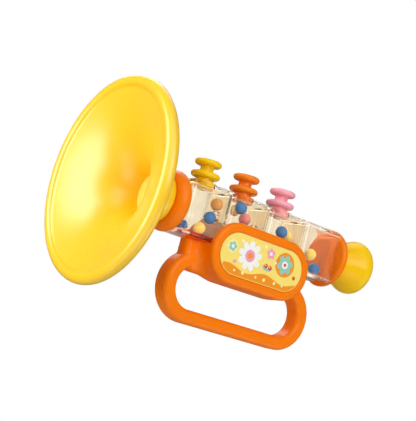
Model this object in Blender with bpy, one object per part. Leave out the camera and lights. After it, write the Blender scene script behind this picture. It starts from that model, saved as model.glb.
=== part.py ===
"""Toy horn: a yellow bell, a row of clear rattle chambers with loose balls, three push
buttons, an orange two-part housing with a handle loop, an end cap and a mouthpiece.

Frame: the horn's axis runs along X, from the bell at -X to the mouthpiece at +X. The label
side faces -Y and the buttons point to +Z. The origin is at the centre of the bottom of the
whole horn. All sizes are metres, written as millimetres times MM.
"""

from math import cos, exp, pi, radians, sin, sqrt

import bmesh
import bpy
from mathutils import Matrix, Vector

MM = 0.001

# Gaps between pieces that seat on, slide in or pass through each other
SEAT_GAP = 0.3 * MM
SLIDE_GAP = 0.2 * MM
CUT_OVERRUN = 3.0 * MM

# Bell: a flared dish with a rolled rim, and a beaded neck
BELL_RADIUS = 40.0 * MM
BELL_LENGTH = 27.15 * MM
RIM_TUBE_RADIUS = 2.65 * MM
BELL_WALL = 1.7 * MM
FLARE_LENGTH = 8.5 * MM
THROAT_RADIUS = 5.4 * MM
NECK_RADIUS = 9.5 * MM
NECK_BEAD_HEIGHT = 0.7 * MM
NECK_LENGTH = 6.6 * MM
NECK_SHOULDER = 0.8 * MM
RIM_CREASE_DEG = 235.0
RIM_BACK_DEG = -60.0
RIM_LAND = 0.8 * MM

# Collar ring between the bell and the first chamber
COLLAR_RADIUS = 12.0 * MM
COLLAR_TUBE_RADIUS = 3.4 * MM

# Spout of the first chamber, which carries the collar and the bell
SPOUT_RADIUS = 5.0 * MM
SPOUT_BORE_RADIUS = 1.9 * MM
SPOUT_REACH = 4.2 * MM

# Clear rattle chambers: moulded cups, each closed by a divider plate
CHAMBER_COUNT = 4
CHAMBER_LENGTH = 19.5 * MM
CHAMBER_DEPTH = 17.0 * MM
CHAMBER_HEIGHT = 21.6 * MM
CHAMBER_WALL = 1.4 * MM
CHAMBER_CORNER = 1.3 * MM
CAVITY_CORNER = 0.9 * MM
DIVIDER_THICKNESS = 1.4 * MM
DIVIDER_LEDGE = 0.7 * MM
AIR_HOLE_RADIUS = 1.5 * MM
SPIGOT_WALL = 1.1 * MM

# Rattle balls
BALL_RADIUS = 2.45 * MM
LANE_GAP = 0.3 * MM

# Push buttons
BUTTON_TRAVEL = 1.2 * MM
STOP_GAP = 0.1 * MM
UPPER_DISC_RADIUS = 5.35 * MM
LOWER_DISC_RADIUS = 5.8 * MM
DISC_THICKNESS = 2.35 * MM
BUTTON_NECK_RADIUS = 2.65 * MM
BUTTON_NECK_HEIGHT = 2.5 * MM
HUB_RADIUS = 3.5 * MM
HUB_WALL = 0.6 * MM
ROOF_THICKNESS = 1.0 * MM
STEM_RADIUS = 0.9 * MM
STEM_TIP = 0.2 * MM

# Bushes that guide the buttons, their springs and their retaining clips
BUSH_WALL = 0.6 * MM
BUSH_FLANGE_THICKNESS = 0.8 * MM
BUSH_FLANGE_WIDTH = 0.6 * MM
BUSH_FLOOR = 0.5 * MM
BUSH_DROP = 0.3 * MM
SPRING_WIRE_RADIUS = 0.2 * MM
SPRING_RADIUS = 2.2 * MM
SPRING_TURNS = 4
CLIP_RADIUS = 1.7 * MM
CLIP_THICKNESS = 0.6 * MM

# Housing: saddle body, oval panels and handle loop, split along the middle plane
SADDLE_INSET = 7.4 * MM
SADDLE_LENGTH = 58.7 * MM
SADDLE_HEIGHT = 12.1 * MM
SADDLE_DEPTH = 6.8 * MM
SADDLE_CORNER = 6.5 * MM
SADDLE_EDGE = 2.2 * MM
GRIP_SHIFT = 0.7 * MM
PANEL_LENGTH = 49.7 * MM
PANEL_HEIGHT = 24.2 * MM
PANEL_RISE = 11.1 * MM
PANEL_THICKNESS = 2.7 * MM
PANEL_EDGE = 1.3 * MM
REAR_PANEL_INSET = 0.9 * MM
REAR_PANEL_LIFT = 1.3 * MM
SHELL_WALL = 1.8 * MM
LABEL_MARGIN = 3.6 * MM
LABEL_RECESS = 0.9 * MM
LABEL_THICKNESS = 0.4 * MM
HANDLE_LENGTH = 73.8 * MM
HANDLE_HEIGHT = 28.2 * MM
HANDLE_DROP = 3.8 * MM
HANDLE_BAR = 5.6 * MM
HANDLE_DEPTH = 8.4 * MM
HANDLE_EDGE = 1.9 * MM

# Screws that hold the two housing shells together, driven from behind
SCREW_SHANK_RADIUS = 0.9 * MM
SCREW_HEAD_RADIUS = 1.55 * MM
SCREW_HEAD_HEIGHT = 1.1 * MM
SCREW_GRIP = 2.6 * MM
SCREW_SPACING = 30.0 * MM
POST_RADIUS = 3.0 * MM
HEAD_SEAT = 1.4 * MM

# End cap and mouthpiece
CAP_RADIUS = 12.2 * MM
CAP_THICKNESS = 4.5 * MM
CAP_EDGE = 1.2 * MM
CAP_FRONT_WALL = 1.0 * MM
CAP_FACE_RADIUS = 7.4 * MM
PLUG_LENGTH = 2.4 * MM
PLUG_TAPER = 1.4 * MM
PLUG_CORNER = 3.2 * MM
MOUTH_RADIUS = 11.4 * MM
MOUTH_LENGTH = 16.45 * MM
MOUTH_RIM_RADIUS = 4.4 * MM
MOUTH_NECK_RADIUS = 6.6 * MM
MOUTH_BORE_RADIUS = 3.3 * MM
MOUTH_SPIGOT_RADIUS = 6.0 * MM
REED_POCKET_WALL = 1.4 * MM
REED_LENGTH = 9.0 * MM
REED_SLOT_WIDTH = 2.4 * MM
REED_SLOT_HEIGHT = 2.0 * MM
REED_TONGUE_LENGTH = 6.0 * MM
REED_TONGUE_THICKNESS = 0.3 * MM

# Facets round each kind of turned piece
BELL_SEGMENTS = 48
RING_SEGMENTS = 32
BUTTON_SEGMENTS = 16
SMALL_SEGMENTS = 12

# Places along the horn's axis, measured from the bell's mouth
COLLAR_START = BELL_LENGTH + SEAT_GAP
COLLAR_WIDTH = 2 * COLLAR_TUBE_RADIUS
ROW_START = COLLAR_START + COLLAR_WIDTH + SEAT_GAP
CHAMBER_PITCH = CHAMBER_LENGTH + SEAT_GAP
ROW_END = ROW_START + CHAMBER_COUNT * CHAMBER_PITCH - SEAT_GAP
ROW_CENTRE = (ROW_START + ROW_END) / 2
CAP_START = ROW_END + SEAT_GAP
CAP_END = CAP_START + CAP_THICKNESS
MOUTH_START = CAP_END + SEAT_GAP
HORN_LENGTH = MOUTH_START + MOUTH_LENGTH
GRIP_CENTRE = ROW_CENTRE - GRIP_SHIFT

# Heights from the horn's axis, and the axis's own height over the lowest point
CHAMBER_TOP = CHAMBER_HEIGHT / 2
SADDLE_TOP = -CHAMBER_HEIGHT / 2 - SEAT_GAP
PANEL_CENTRE_Z = SADDLE_TOP + PANEL_RISE - PANEL_HEIGHT / 2
HANDLE_CENTRE_Z = SADDLE_TOP - HANDLE_DROP - HANDLE_HEIGHT / 2
HANDLE_BOTTOM_Z = HANDLE_CENTRE_Z - HANDLE_HEIGHT / 2
AXIS_HEIGHT = max(BELL_RADIUS, -HANDLE_BOTTOM_Z)
PANEL_FACE = CHAMBER_DEPTH / 2 + SEAT_GAP + PANEL_THICKNESS

# Inside of a chamber
CAVITY_DEPTH = CHAMBER_DEPTH - 2 * CHAMBER_WALL
CAVITY_HEIGHT = CHAMBER_HEIGHT - 2 * CHAMBER_WALL
SPIGOT_RADIUS = AIR_HOLE_RADIUS + SPIGOT_WALL

# Button and bush heights over the top of the chambers
FLANGE_BOTTOM = SLIDE_GAP
FLANGE_TOP = FLANGE_BOTTOM + BUSH_FLANGE_THICKNESS
BUSH_BOTTOM = -CHAMBER_WALL - BUSH_DROP
BUSH_FLOOR_TOP = BUSH_BOTTOM + BUSH_FLOOR
LOWER_DISC_BOTTOM = FLANGE_TOP + BUTTON_TRAVEL + STOP_GAP
LOWER_DISC_TOP = LOWER_DISC_BOTTOM + DISC_THICKNESS
UPPER_DISC_BOTTOM = LOWER_DISC_TOP + BUTTON_NECK_HEIGHT
UPPER_DISC_TOP = UPPER_DISC_BOTTOM + DISC_THICKNESS
HUB_BOTTOM = BUSH_FLOOR_TOP + BUTTON_TRAVEL + STOP_GAP
ROOF_BOTTOM = LOWER_DISC_TOP - ROOF_THICKNESS
CLIP_TOP = BUSH_BOTTOM - STOP_GAP
CLIP_BOTTOM = CLIP_TOP - CLIP_THICKNESS
STEM_BOTTOM = CLIP_BOTTOM - STEM_TIP
BUSH_BORE_RADIUS = HUB_RADIUS + SLIDE_GAP
BUSH_RADIUS = BUSH_BORE_RADIUS + BUSH_WALL
BUSH_HOLE_RADIUS = BUSH_RADIUS + SLIDE_GAP
FLANGE_RADIUS = BUSH_HOLE_RADIUS + BUSH_FLANGE_WIDTH

# Reed pocket inside the mouthpiece's spigot
REED_POCKET_RADIUS = MOUTH_SPIGOT_RADIUS - REED_POCKET_WALL
REED_RADIUS = REED_POCKET_RADIUS - SLIDE_GAP
SPIGOT_BORE_RADIUS = MOUTH_SPIGOT_RADIUS + SLIDE_GAP
MOUTH_SPIGOT_START = CAP_START + CAP_FRONT_WALL + SEAT_GAP
REED_START = MOUTH_SPIGOT_START + SEAT_GAP
REED_POCKET_END = REED_START + REED_LENGTH + SEAT_GAP

# Colours of the mouldings: name, colour, roughness, opacity
YELLOW = ("yellow_plastic", (0.98, 0.72, 0.02), 0.28, 1.0)
ORANGE = ("orange_plastic", (0.92, 0.28, 0.02), 0.32, 1.0)
PINK = ("pink_plastic", (0.96, 0.42, 0.50), 0.30, 1.0)
BLUE = ("blue_plastic", (0.07, 0.25, 0.62), 0.30, 1.0)
CLEAR = ("clear_plastic", (0.95, 0.90, 0.80), 0.08, 0.35)
STEEL = ("steel", (0.60, 0.60, 0.62), 0.35, 1.0)
WHITE = ("white_plastic", (0.90, 0.89, 0.86), 0.40, 1.0)
LABEL = ("printed_label", (0.98, 0.80, 0.25), 0.35, 1.0)

BUTTONS = (("yellow", YELLOW), ("orange", ORANGE), ("pink", PINK))

# Loose balls: name, moulding, chamber, place along the chamber as a share of the ball's free
# half run, row across the chamber, and level: a name or a share of the free half height
BALL_PLACE_SHARES = (
    ("yellow_ball_1", YELLOW, 0, 0.05, "front", "floor"),
    ("blue_ball_1", BLUE, 0, 0.70, "front", "second"),
    ("orange_ball_1", ORANGE, 0, 1.0, "front", 0.655),
    ("blue_ball_2", BLUE, 0, -0.37, "rear", "floor"),
    ("blue_ball_3", BLUE, 1, -0.44, "front", "top"),
    ("pink_ball_1", PINK, 1, 0.73, "middle", "nested"),
    ("yellow_ball_2", YELLOW, 1, 0.21, "rear", "top"),
    ("blue_ball_4", BLUE, 2, 0.12, "front", 0.47),
    ("yellow_ball_3", YELLOW, 2, 1.0, "beside blue_ball_4", 0.35),
    ("yellow_ball_4", YELLOW, 3, -0.20, "front", "second"),
    ("blue_ball_5", BLUE, 3, 0.50, "front", "floor"),
)


def axis_x(place):
    """World X of a place measured along the horn from the bell's mouth."""
    return place - HORN_LENGTH / 2


def chamber_start(index):
    return ROW_START + index * CHAMBER_PITCH


def chamber_centre(index):
    return chamber_start(index) + CHAMBER_LENGTH / 2


def clear_scene():
    for item in list(bpy.data.objects):
        bpy.data.objects.remove(item, do_unlink=True)


def material(look):
    name, colour, roughness, opacity = look
    found = bpy.data.materials.get(name)
    if found:
        return found
    made = bpy.data.materials.new(name)
    made.use_nodes = True
    shader = made.node_tree.nodes["Principled BSDF"]
    shader.inputs["Base Color"].default_value = (*colour, 1.0)
    shader.inputs["Roughness"].default_value = roughness
    shader.inputs["Metallic"].default_value = 1.0 if name == "steel" else 0.0
    shader.inputs["Alpha"].default_value = opacity
    return made


def finish_mesh(name, bm, look, location=(0.0, 0.0, 0.0)):
    """Turns a bmesh into a named object with its material and smooth round faces."""
    bmesh.ops.recalc_face_normals(bm, faces=bm.faces)
    mesh = bpy.data.meshes.new(name)
    bm.to_mesh(mesh)
    bm.free()
    mesh.materials.append(material(look))
    made = bpy.data.objects.new(name, mesh)
    made.location = location
    bpy.context.scene.collection.objects.link(made)
    smooth(made)
    return made


def smooth(piece):
    piece.data.shade_smooth()
    piece.data.set_sharp_from_angle(angle=radians(40))


def combine(target, tool, operation):
    """Joins or cuts the target with another solid, which is then removed."""
    bpy.context.view_layer.update()
    modifier = target.modifiers.new(operation.lower(), "BOOLEAN")
    modifier.operation = operation
    modifier.solver = "EXACT"
    modifier.object = tool
    graph = bpy.context.evaluated_depsgraph_get()
    result = bpy.data.meshes.new_from_object(target.evaluated_get(graph))
    result.name = target.name
    target.modifiers.clear()
    target.data = result
    bpy.data.objects.remove(tool, do_unlink=True)
    smooth(target)


def add(target, tool):
    combine(target, tool, "UNION")


def cut(target, tool):
    combine(target, tool, "DIFFERENCE")


def arc(along, radius, reach, start_deg, end_deg, steps):
    """Profile points on a circle round (along, radius)."""
    points = []
    for step in range(steps + 1):
        angle = radians(start_deg + (end_deg - start_deg) * step / steps)
        points.append((along + reach * cos(angle), radius + reach * sin(angle)))
    return points


def turned(name, profile, segments, look, upright=False, location=(0.0, 0.0, 0.0)):
    """Spins a closed profile of (along, radius) points about X, or about Z if upright."""
    bm = bmesh.new()
    rings = []
    for along, radius in profile:
        ring = []
        count = segments if radius > 0 else 1
        for step in range(count):
            angle = 2 * pi * step / segments
            side = radius * cos(angle)
            rise = radius * sin(angle)
            place = (side, rise, along) if upright else (along, side, rise)
            ring.append(bm.verts.new(place))
        rings.append(ring)
    for ring, following in zip(rings, rings[1:] + rings[:1]):
        for step in range(segments):
            after = (step + 1) % segments
            corners = [ring[step % len(ring)], ring[after % len(ring)]]
            corners += [following[after % len(following)], following[step % len(following)]]
            unique = list(dict.fromkeys(corners))
            if len(unique) > 2:
                bm.faces.new(unique)
    return finish_mesh(name, bm, look, location)


def rounded_outline(width, height, corner, steps=4):
    """Points round a rectangle with round corners, centred on zero."""
    corner = min(corner, width / 2, height / 2)
    points = []
    for quarter, (side, rise) in enumerate(((1, 1), (-1, 1), (-1, -1), (1, -1))):
        centre = (side * (width / 2 - corner), rise * (height / 2 - corner))
        for step in range(steps + 1):
            angle = pi / 2 * (quarter + step / steps)
            points.append((centre[0] + corner * cos(angle), centre[1] + corner * sin(angle)))
    return points


def lofted(name, layers, look, normal="Y", location=(0.0, 0.0, 0.0)):
    """Joins outlines, each (place along the normal, points), into one closed solid."""
    bm = bmesh.new()
    rings = []
    for place, points in layers:
        if normal == "Y":
            rings.append([bm.verts.new((across, place, rise)) for across, rise in points])
        else:
            rings.append([bm.verts.new((place, across, rise)) for across, rise in points])
    count = len(rings[0])
    for ring, following in zip(rings, rings[1:]):
        for step in range(count):
            after = (step + 1) % count
            bm.faces.new((ring[step], ring[after], following[after], following[step]))
    bm.faces.new(rings[0])
    bm.faces.new(rings[-1])
    bmesh.ops.remove_doubles(bm, verts=bm.verts, dist=1e-7)
    return finish_mesh(name, bm, look, location)


def rounded_bar(name, start, length, depth, height, corner, look, steps=3):
    """A bar along X with a round-cornered section, centred on the horn's axis."""
    outline = rounded_outline(depth, height, corner, steps)
    layers = ((start, outline), (start + length, outline))
    return lofted(name, layers, look, "X", (0.0, 0.0, AXIS_HEIGHT))


def rod(name, centre, radius, start, end, look, axis="Y", segments=SMALL_SEGMENTS):
    """A round rod along one axis; centre gives its two other coordinates."""
    profile = [(start, 0.0), (start, radius), (end, radius), (end, 0.0)]
    made = turned(name, profile, segments, look)
    # half a facet of turn keeps the rod's corners off the planes of the piece it meets
    made.data.transform(Matrix.Rotation(pi / segments, 4, "X"))
    if axis == "Y":
        made.data.transform(Matrix.Rotation(pi / 2, 4, "Z"))
        made.location = (centre[0], 0.0, centre[1])
    elif axis == "Z":
        made.data.transform(Matrix.Rotation(-pi / 2, 4, "Y"))
        made.location = (centre[0], centre[1], 0.0)
    else:
        made.location = (0.0, centre[0], centre[1])
    return made


def block(name, low, high, look):
    """A plain box between two corners."""
    bm = bmesh.new()
    bmesh.ops.create_cube(bm, size=1.0)
    size = Vector(high) - Vector(low)
    middle = (Vector(high) + Vector(low)) / 2
    bmesh.ops.scale(bm, vec=size, verts=bm.verts)
    return finish_mesh(name, bm, look, middle)


def flare_radius(place, crease):
    """Inner radius of the bell at a place behind its mouth."""
    start, radius = crease
    return THROAT_RADIUS + (radius - THROAT_RADIUS) * exp(-(place - start) / FLARE_LENGTH)


def bell_profile():
    """Closed section of the bell: inner flare, socket, beaded neck, outer flare and rim."""
    rim_centre = (RIM_TUBE_RADIUS, BELL_RADIUS - RIM_TUBE_RADIUS)
    crease = arc(*rim_centre, RIM_TUBE_RADIUS, RIM_CREASE_DEG, RIM_CREASE_DEG, 1)[0]
    neck_start = BELL_LENGTH - NECK_LENGTH
    shoulder = BELL_LENGTH - SPOUT_REACH - SEAT_GAP
    socket = SPOUT_RADIUS + SLIDE_GAP

    inner = []
    steps = 9
    for step in range(1, steps + 1):
        place = crease[0] + (shoulder - NECK_SHOULDER - crease[0]) * (step / steps) ** 1.5
        inner.append((place, max(flare_radius(place, crease), socket + NECK_SHOULDER / 2)))
    inner += [(shoulder, socket), (BELL_LENGTH, socket)]

    neck = []
    steps = 6
    for step in range(steps + 1):
        share = step / steps
        bead = NECK_BEAD_HEIGHT * sin(pi * share)
        neck.append((BELL_LENGTH - share * NECK_LENGTH, NECK_RADIUS + bead + BELL_WALL * share / 3))

    outer = []
    steps = 7
    last = neck[-1]
    for step in range(1, steps + 1):
        share = 1 - step / (steps + 0.6)
        place = crease[0] + (neck_start - crease[0]) * share**1.5
        radius = flare_radius(place, crease)
        slope = -(radius - THROAT_RADIUS) / FLARE_LENGTH
        steepness = sqrt(1 + slope * slope)
        point = (place - slope / steepness * BELL_WALL, radius + BELL_WALL / steepness)
        if point[0] < last[0] and point[1] > last[1]:
            outer.append(point)
            last = point

    back = arc(*rim_centre, RIM_TUBE_RADIUS, RIM_BACK_DEG, 160.0, 9)
    front = arc(*rim_centre, RIM_TUBE_RADIUS, 200.0, RIM_CREASE_DEG, 2)
    land = RIM_LAND / 2
    face = [(0.0, rim_centre[1] + land), (0.0, rim_centre[1] - land)]
    return inner + neck + outer + back + face + front


def make_bell():
    turned("bell", bell_profile(), BELL_SEGMENTS, YELLOW, location=(axis_x(0.0), 0.0, AXIS_HEIGHT))


def make_collar():
    bore = SPOUT_RADIUS + SLIDE_GAP
    outside = arc(COLLAR_TUBE_RADIUS, COLLAR_RADIUS - COLLAR_TUBE_RADIUS, COLLAR_TUBE_RADIUS, 180, 0, 8)
    profile = [(0.0, bore)] + outside + [(COLLAR_WIDTH, bore)]
    place = (axis_x(COLLAR_START), 0.0, AXIS_HEIGHT)
    turned("collar_ring", profile, RING_SEGMENTS, ORANGE, location=place)


def make_chamber(index):
    """One clear cup: closed towards the bell, with a hollow spout or spigot, open at +X."""
    name = f"chamber_{index + 1}"
    start = axis_x(chamber_start(index))
    end = start + CHAMBER_LENGTH
    bm = bmesh.new()
    bmesh.ops.create_cube(bm, size=1.0)
    bmesh.ops.scale(bm, vec=(CHAMBER_LENGTH, CHAMBER_DEPTH, CHAMBER_HEIGHT), verts=bm.verts)
    bmesh.ops.bevel(bm, geom=bm.edges, offset=CHAMBER_CORNER, segments=2, profile=0.5, affect="EDGES")
    cup = finish_mesh(name, bm, CLEAR, ((start + end) / 2, 0.0, AXIS_HEIGHT))

    first = index == 0
    last = index == CHAMBER_COUNT - 1
    if first:
        outer_radius = SPOUT_RADIUS
        reach = COLLAR_WIDTH + 2 * SEAT_GAP + SPOUT_REACH
    else:
        outer_radius = SPIGOT_RADIUS
        reach = SEAT_GAP + DIVIDER_THICKNESS - SEAT_GAP / 2
    middle = (0.0, AXIS_HEIGHT)
    tube_segments = RING_SEGMENTS if first else BUTTON_SEGMENTS
    root = start + CHAMBER_WALL / 2
    add(cup, rod("tube", middle, outer_radius, start - reach, root, CLEAR, "X", tube_segments))
    inside = start + CHAMBER_WALL
    length = CHAMBER_LENGTH - CHAMBER_WALL + CUT_OVERRUN
    cut(cup, rounded_bar("cavity", inside, length, CAVITY_DEPTH, CAVITY_HEIGHT, CAVITY_CORNER, CLEAR, 2))
    if not last:
        ledge_start = end - DIVIDER_THICKNESS - SEAT_GAP / 2
        ledge_length = end - ledge_start + CUT_OVERRUN
        depth = CAVITY_DEPTH + 2 * DIVIDER_LEDGE
        height = CAVITY_HEIGHT + 2 * DIVIDER_LEDGE
        corner = CAVITY_CORNER + DIVIDER_LEDGE / 2
        cut(cup, rounded_bar("ledge", ledge_start, ledge_length, depth, height, corner, CLEAR, 2))
        low = AXIS_HEIGHT + CHAMBER_TOP - CHAMBER_WALL - CUT_OVERRUN
        high = AXIS_HEIGHT + CHAMBER_TOP + CUT_OVERRUN
        button_x = axis_x(chamber_centre(index))
        cut(cup, rod("bush_hole", (button_x, 0.0), BUSH_HOLE_RADIUS, low, high, CLEAR, "Z", BUTTON_SEGMENTS))
    if first:
        low = start - reach - CUT_OVERRUN
        high = start - CHAMBER_WALL / 2
        cut(cup, rod("bore", middle, SPOUT_BORE_RADIUS, low, high, CLEAR, "X", BUTTON_SEGMENTS))
    hole_start = start - reach - CUT_OVERRUN
    hole_end = start + CHAMBER_WALL + CUT_OVERRUN
    cut(cup, rod("air_hole", middle, AIR_HOLE_RADIUS, hole_start, hole_end, CLEAR, "X"))


def make_divider(index):
    """Clear plate that closes a chamber and takes the next chamber's spigot."""
    end = axis_x(chamber_start(index)) + CHAMBER_LENGTH
    depth = CAVITY_DEPTH + 2 * DIVIDER_LEDGE - 2 * SLIDE_GAP
    height = CAVITY_HEIGHT + 2 * DIVIDER_LEDGE - 2 * SLIDE_GAP
    corner = CAVITY_CORNER + DIVIDER_LEDGE / 2
    start = end - DIVIDER_THICKNESS
    plate = rounded_bar(f"divider_{index + 1}", start, DIVIDER_THICKNESS, depth, height, corner, CLEAR, 2)
    hole = SPIGOT_RADIUS + SLIDE_GAP
    middle = (0.0, AXIS_HEIGHT)
    cut(plate, rod("hole", middle, hole, start - CUT_OVERRUN, end + CUT_OVERRUN, CLEAR, "X", BUTTON_SEGMENTS))


def disc_edge(bottom, radius, thickness):
    """Round edge of a button's disc, from its underside to its top."""
    reach = thickness / 2
    return [(along, edge) for along, edge in arc(bottom + reach, radius - reach, reach, 180, 0, 4)]


def make_button(index, colour_name, look):
    """Button on its axis: two discs, a neck, a hollow hub and a centre stem."""
    bore = HUB_RADIUS - HUB_WALL
    fillet = BUTTON_NECK_HEIGHT / 4
    profile = [(STEM_BOTTOM, 0.0), (STEM_BOTTOM, STEM_RADIUS), (ROOF_BOTTOM, STEM_RADIUS)]
    profile += [(ROOF_BOTTOM, bore), (HUB_BOTTOM, bore)]
    profile += [(HUB_BOTTOM, HUB_RADIUS), (LOWER_DISC_BOTTOM, HUB_RADIUS)]
    profile += disc_edge(LOWER_DISC_BOTTOM, LOWER_DISC_RADIUS, DISC_THICKNESS)
    foot = BUTTON_NECK_RADIUS + fillet
    profile += [(LOWER_DISC_TOP, foot), (LOWER_DISC_TOP + fillet, BUTTON_NECK_RADIUS)]
    profile += [(UPPER_DISC_BOTTOM - fillet, BUTTON_NECK_RADIUS), (UPPER_DISC_BOTTOM, foot)]
    profile += disc_edge(UPPER_DISC_BOTTOM, UPPER_DISC_RADIUS, DISC_THICKNESS)
    profile += [(UPPER_DISC_TOP, 0.0)]
    place = (axis_x(chamber_centre(index)), 0.0, AXIS_HEIGHT + CHAMBER_TOP)
    turned(f"{colour_name}_button", profile, BUTTON_SEGMENTS, look, True, place)

    hole = STEM_RADIUS + SLIDE_GAP
    bush = [(BUSH_BOTTOM, hole), (BUSH_BOTTOM, BUSH_RADIUS), (FLANGE_BOTTOM, BUSH_RADIUS)]
    bush += [(FLANGE_BOTTOM, FLANGE_RADIUS), (FLANGE_TOP, FLANGE_RADIUS), (FLANGE_TOP, BUSH_BORE_RADIUS)]
    bush += [(BUSH_FLOOR_TOP, BUSH_BORE_RADIUS), (BUSH_FLOOR_TOP, hole)]
    turned(f"{colour_name}_bush", bush, BUTTON_SEGMENTS, look, True, place)

    clip_bore = STEM_RADIUS + SLIDE_GAP / 2
    clip = [(CLIP_BOTTOM, clip_bore), (CLIP_BOTTOM, CLIP_RADIUS)]
    clip += [(CLIP_TOP, CLIP_RADIUS), (CLIP_TOP, clip_bore)]
    turned(f"{colour_name}_clip", clip, SMALL_SEGMENTS, WHITE, True, place)
    make_spring(f"{colour_name}_spring", place)


def make_spring(name, place):
    """Compression spring round the stem, one unbroken wire wound from bottom to top."""
    bottom = BUSH_FLOOR_TOP + SEAT_GAP / 2 + SPRING_WIRE_RADIUS
    top = ROOF_BOTTOM - SEAT_GAP / 2 - SPRING_WIRE_RADIUS
    points_a_turn = 9
    sides = 5
    count = SPRING_TURNS * points_a_turn + 1
    rise_a_turn = (top - bottom) / SPRING_TURNS
    bm = bmesh.new()
    rings = []
    for step in range(count):
        share = step / (count - 1)
        angle = 2 * pi * SPRING_TURNS * share
        out = Vector((cos(angle), sin(angle), 0.0))
        forward = Vector((-sin(angle), cos(angle), rise_a_turn / (2 * pi * SPRING_RADIUS))).normalized()
        across = forward.cross(out)
        centre = out * SPRING_RADIUS + Vector((0.0, 0.0, bottom + (top - bottom) * share))
        ring = []
        for side in range(sides):
            turn = 2 * pi * side / sides
            ring.append(bm.verts.new(centre + (out * cos(turn) + across * sin(turn)) * SPRING_WIRE_RADIUS))
        rings.append(ring)
    for ring, following in zip(rings, rings[1:]):
        for side in range(sides):
            after = (side + 1) % sides
            bm.faces.new((ring[side], ring[after], following[after], following[side]))
    bm.faces.new(rings[0])
    bm.faces.new(rings[-1])
    finish_mesh(name, bm, STEEL, place)
    print(f"{name}: least gap between turns {1000 * (rise_a_turn - 2 * SPRING_WIRE_RADIUS):.2f} mm")


def ball_run(chamber):
    """Lowest and highest X, from the bell's mouth, for a ball's centre in a chamber."""
    inset = BALL_RADIUS + SEAT_GAP
    low = chamber_start(chamber) + CHAMBER_WALL + inset
    if chamber == CHAMBER_COUNT - 1:
        high = CAP_START - PLUG_LENGTH - inset
    else:
        high = chamber_start(chamber) + CHAMBER_LENGTH - DIVIDER_THICKNESS - SEAT_GAP / 2 - inset
    return low, high


def ball_place(chamber, along_share, row, level, placed):
    """Centre of a loose ball; placed holds the centres of the balls before it."""
    low, high = ball_run(chamber)
    across_run = CAVITY_DEPTH / 2 - BALL_RADIUS - SEAT_GAP
    height_run = CAVITY_HEIGHT / 2 - BALL_RADIUS - SEAT_GAP
    lane = 2 * BALL_RADIUS + LANE_GAP
    along = axis_x((low + high) / 2 + along_share * (high - low) / 2)

    if row.startswith("beside "):
        neighbour = placed[row.split()[-1]]
        apart = along - neighbour[0]
        across = neighbour[1] + sqrt(max(lane * lane - apart * apart, 0.0))
    else:
        across = {"front": -across_run, "middle": 0.0, "rear": across_run}[row]

    top = CHAMBER_TOP + BUSH_BOTTOM - SEAT_GAP - BALL_RADIUS
    nested = top - sqrt(max(lane * lane - across_run * across_run, 0.0))
    under_stem = CHAMBER_TOP + STEM_BOTTOM - BUTTON_TRAVEL - SEAT_GAP - BALL_RADIUS
    heights = {"floor": -height_run, "second": lane - height_run, "top": top}
    heights["nested"] = min(nested, under_stem)
    height = heights[level] if level in heights else level * height_run
    return along, across, AXIS_HEIGHT + height


def make_ball(name, look, place):
    bm = bmesh.new()
    bmesh.ops.create_uvsphere(bm, u_segments=10, v_segments=7, radius=BALL_RADIUS)
    finish_mesh(name, bm, look, place)


def handle_loop():
    """The handle: a rounded bar swept round a long loop."""
    half = HANDLE_LENGTH / 2 - HANDLE_BAR / 2
    bend = HANDLE_HEIGHT / 2 - HANDLE_BAR / 2
    straight = half - bend
    section = rounded_outline(HANDLE_BAR, HANDLE_DEPTH, HANDLE_EDGE, 3)
    steps = 10
    path = []
    for side in (1, -1):
        for step in range(steps + 1):
            angle = radians(-90 + 180 * step / steps) if side > 0 else radians(90 + 180 * step / steps)
            out = Vector((cos(angle), 0.0, sin(angle)))
            path.append((Vector((side * straight, 0.0, 0.0)) + out * bend, out))
    bm = bmesh.new()
    rings = []
    for centre, out in path:
        corners = [centre + out * across + Vector((0.0, depth, 0.0)) for across, depth in section]
        rings.append([bm.verts.new(corner) for corner in corners])
    count = len(section)
    for ring, following in zip(rings, rings[1:] + rings[:1]):
        for step in range(count):
            after = (step + 1) % count
            bm.faces.new((ring[step], ring[after], following[after], following[step]))
    place = (axis_x(GRIP_CENTRE), 0.0, AXIS_HEIGHT + HANDLE_CENTRE_Z)
    return finish_mesh("handle_loop", bm, ORANGE, place)


def edged_plate(name, length, height, corner, half_depth, edge, steps, location):
    """A plate seen from the front as a rounded outline, with rounded front and back edges."""
    layers = []
    quarter = 3
    for step in range(quarter + 1):
        angle = pi / 2 * step / quarter
        inset = edge * (1 - sin(angle))
        layers.append((-half_depth + edge * (1 - cos(angle)), inset))
    layers += [(-depth, inset) for depth, inset in reversed(layers)]
    outlines = []
    for depth, inset in layers:
        outline = rounded_outline(length - 2 * inset, height - 2 * inset, corner - inset, steps)
        outlines.append((depth, outline))
    return lofted(name, outlines, ORANGE, "Y", location)


def screw_places():
    """Where the housing screws go: X, Z, back seat of the head and whether in a post."""
    post_z = AXIS_HEIGHT + (SADDLE_TOP + PANEL_CENTRE_Z - PANEL_HEIGHT / 2) / 2
    handle_z = AXIS_HEIGHT + HANDLE_CENTRE_Z
    reach = HANDLE_LENGTH / 2 - HANDLE_BAR / 2
    middle = axis_x(GRIP_CENTRE)
    places = [(middle + side * SCREW_SPACING / 2, post_z, True) for side in (-1, 1)]
    places += [(middle + side * reach, handle_z, False) for side in (-1, 1)]
    return places


def panel_size(side):
    """Length, height and centre height of the front (-1) or rear (1) oval panel."""
    inset = REAR_PANEL_INSET if side > 0 else 0.0
    lift = REAR_PANEL_LIFT if side > 0 else 0.0
    return PANEL_LENGTH - 2 * inset, PANEL_HEIGHT - 2 * inset, AXIS_HEIGHT + PANEL_CENTRE_Z + lift


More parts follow.
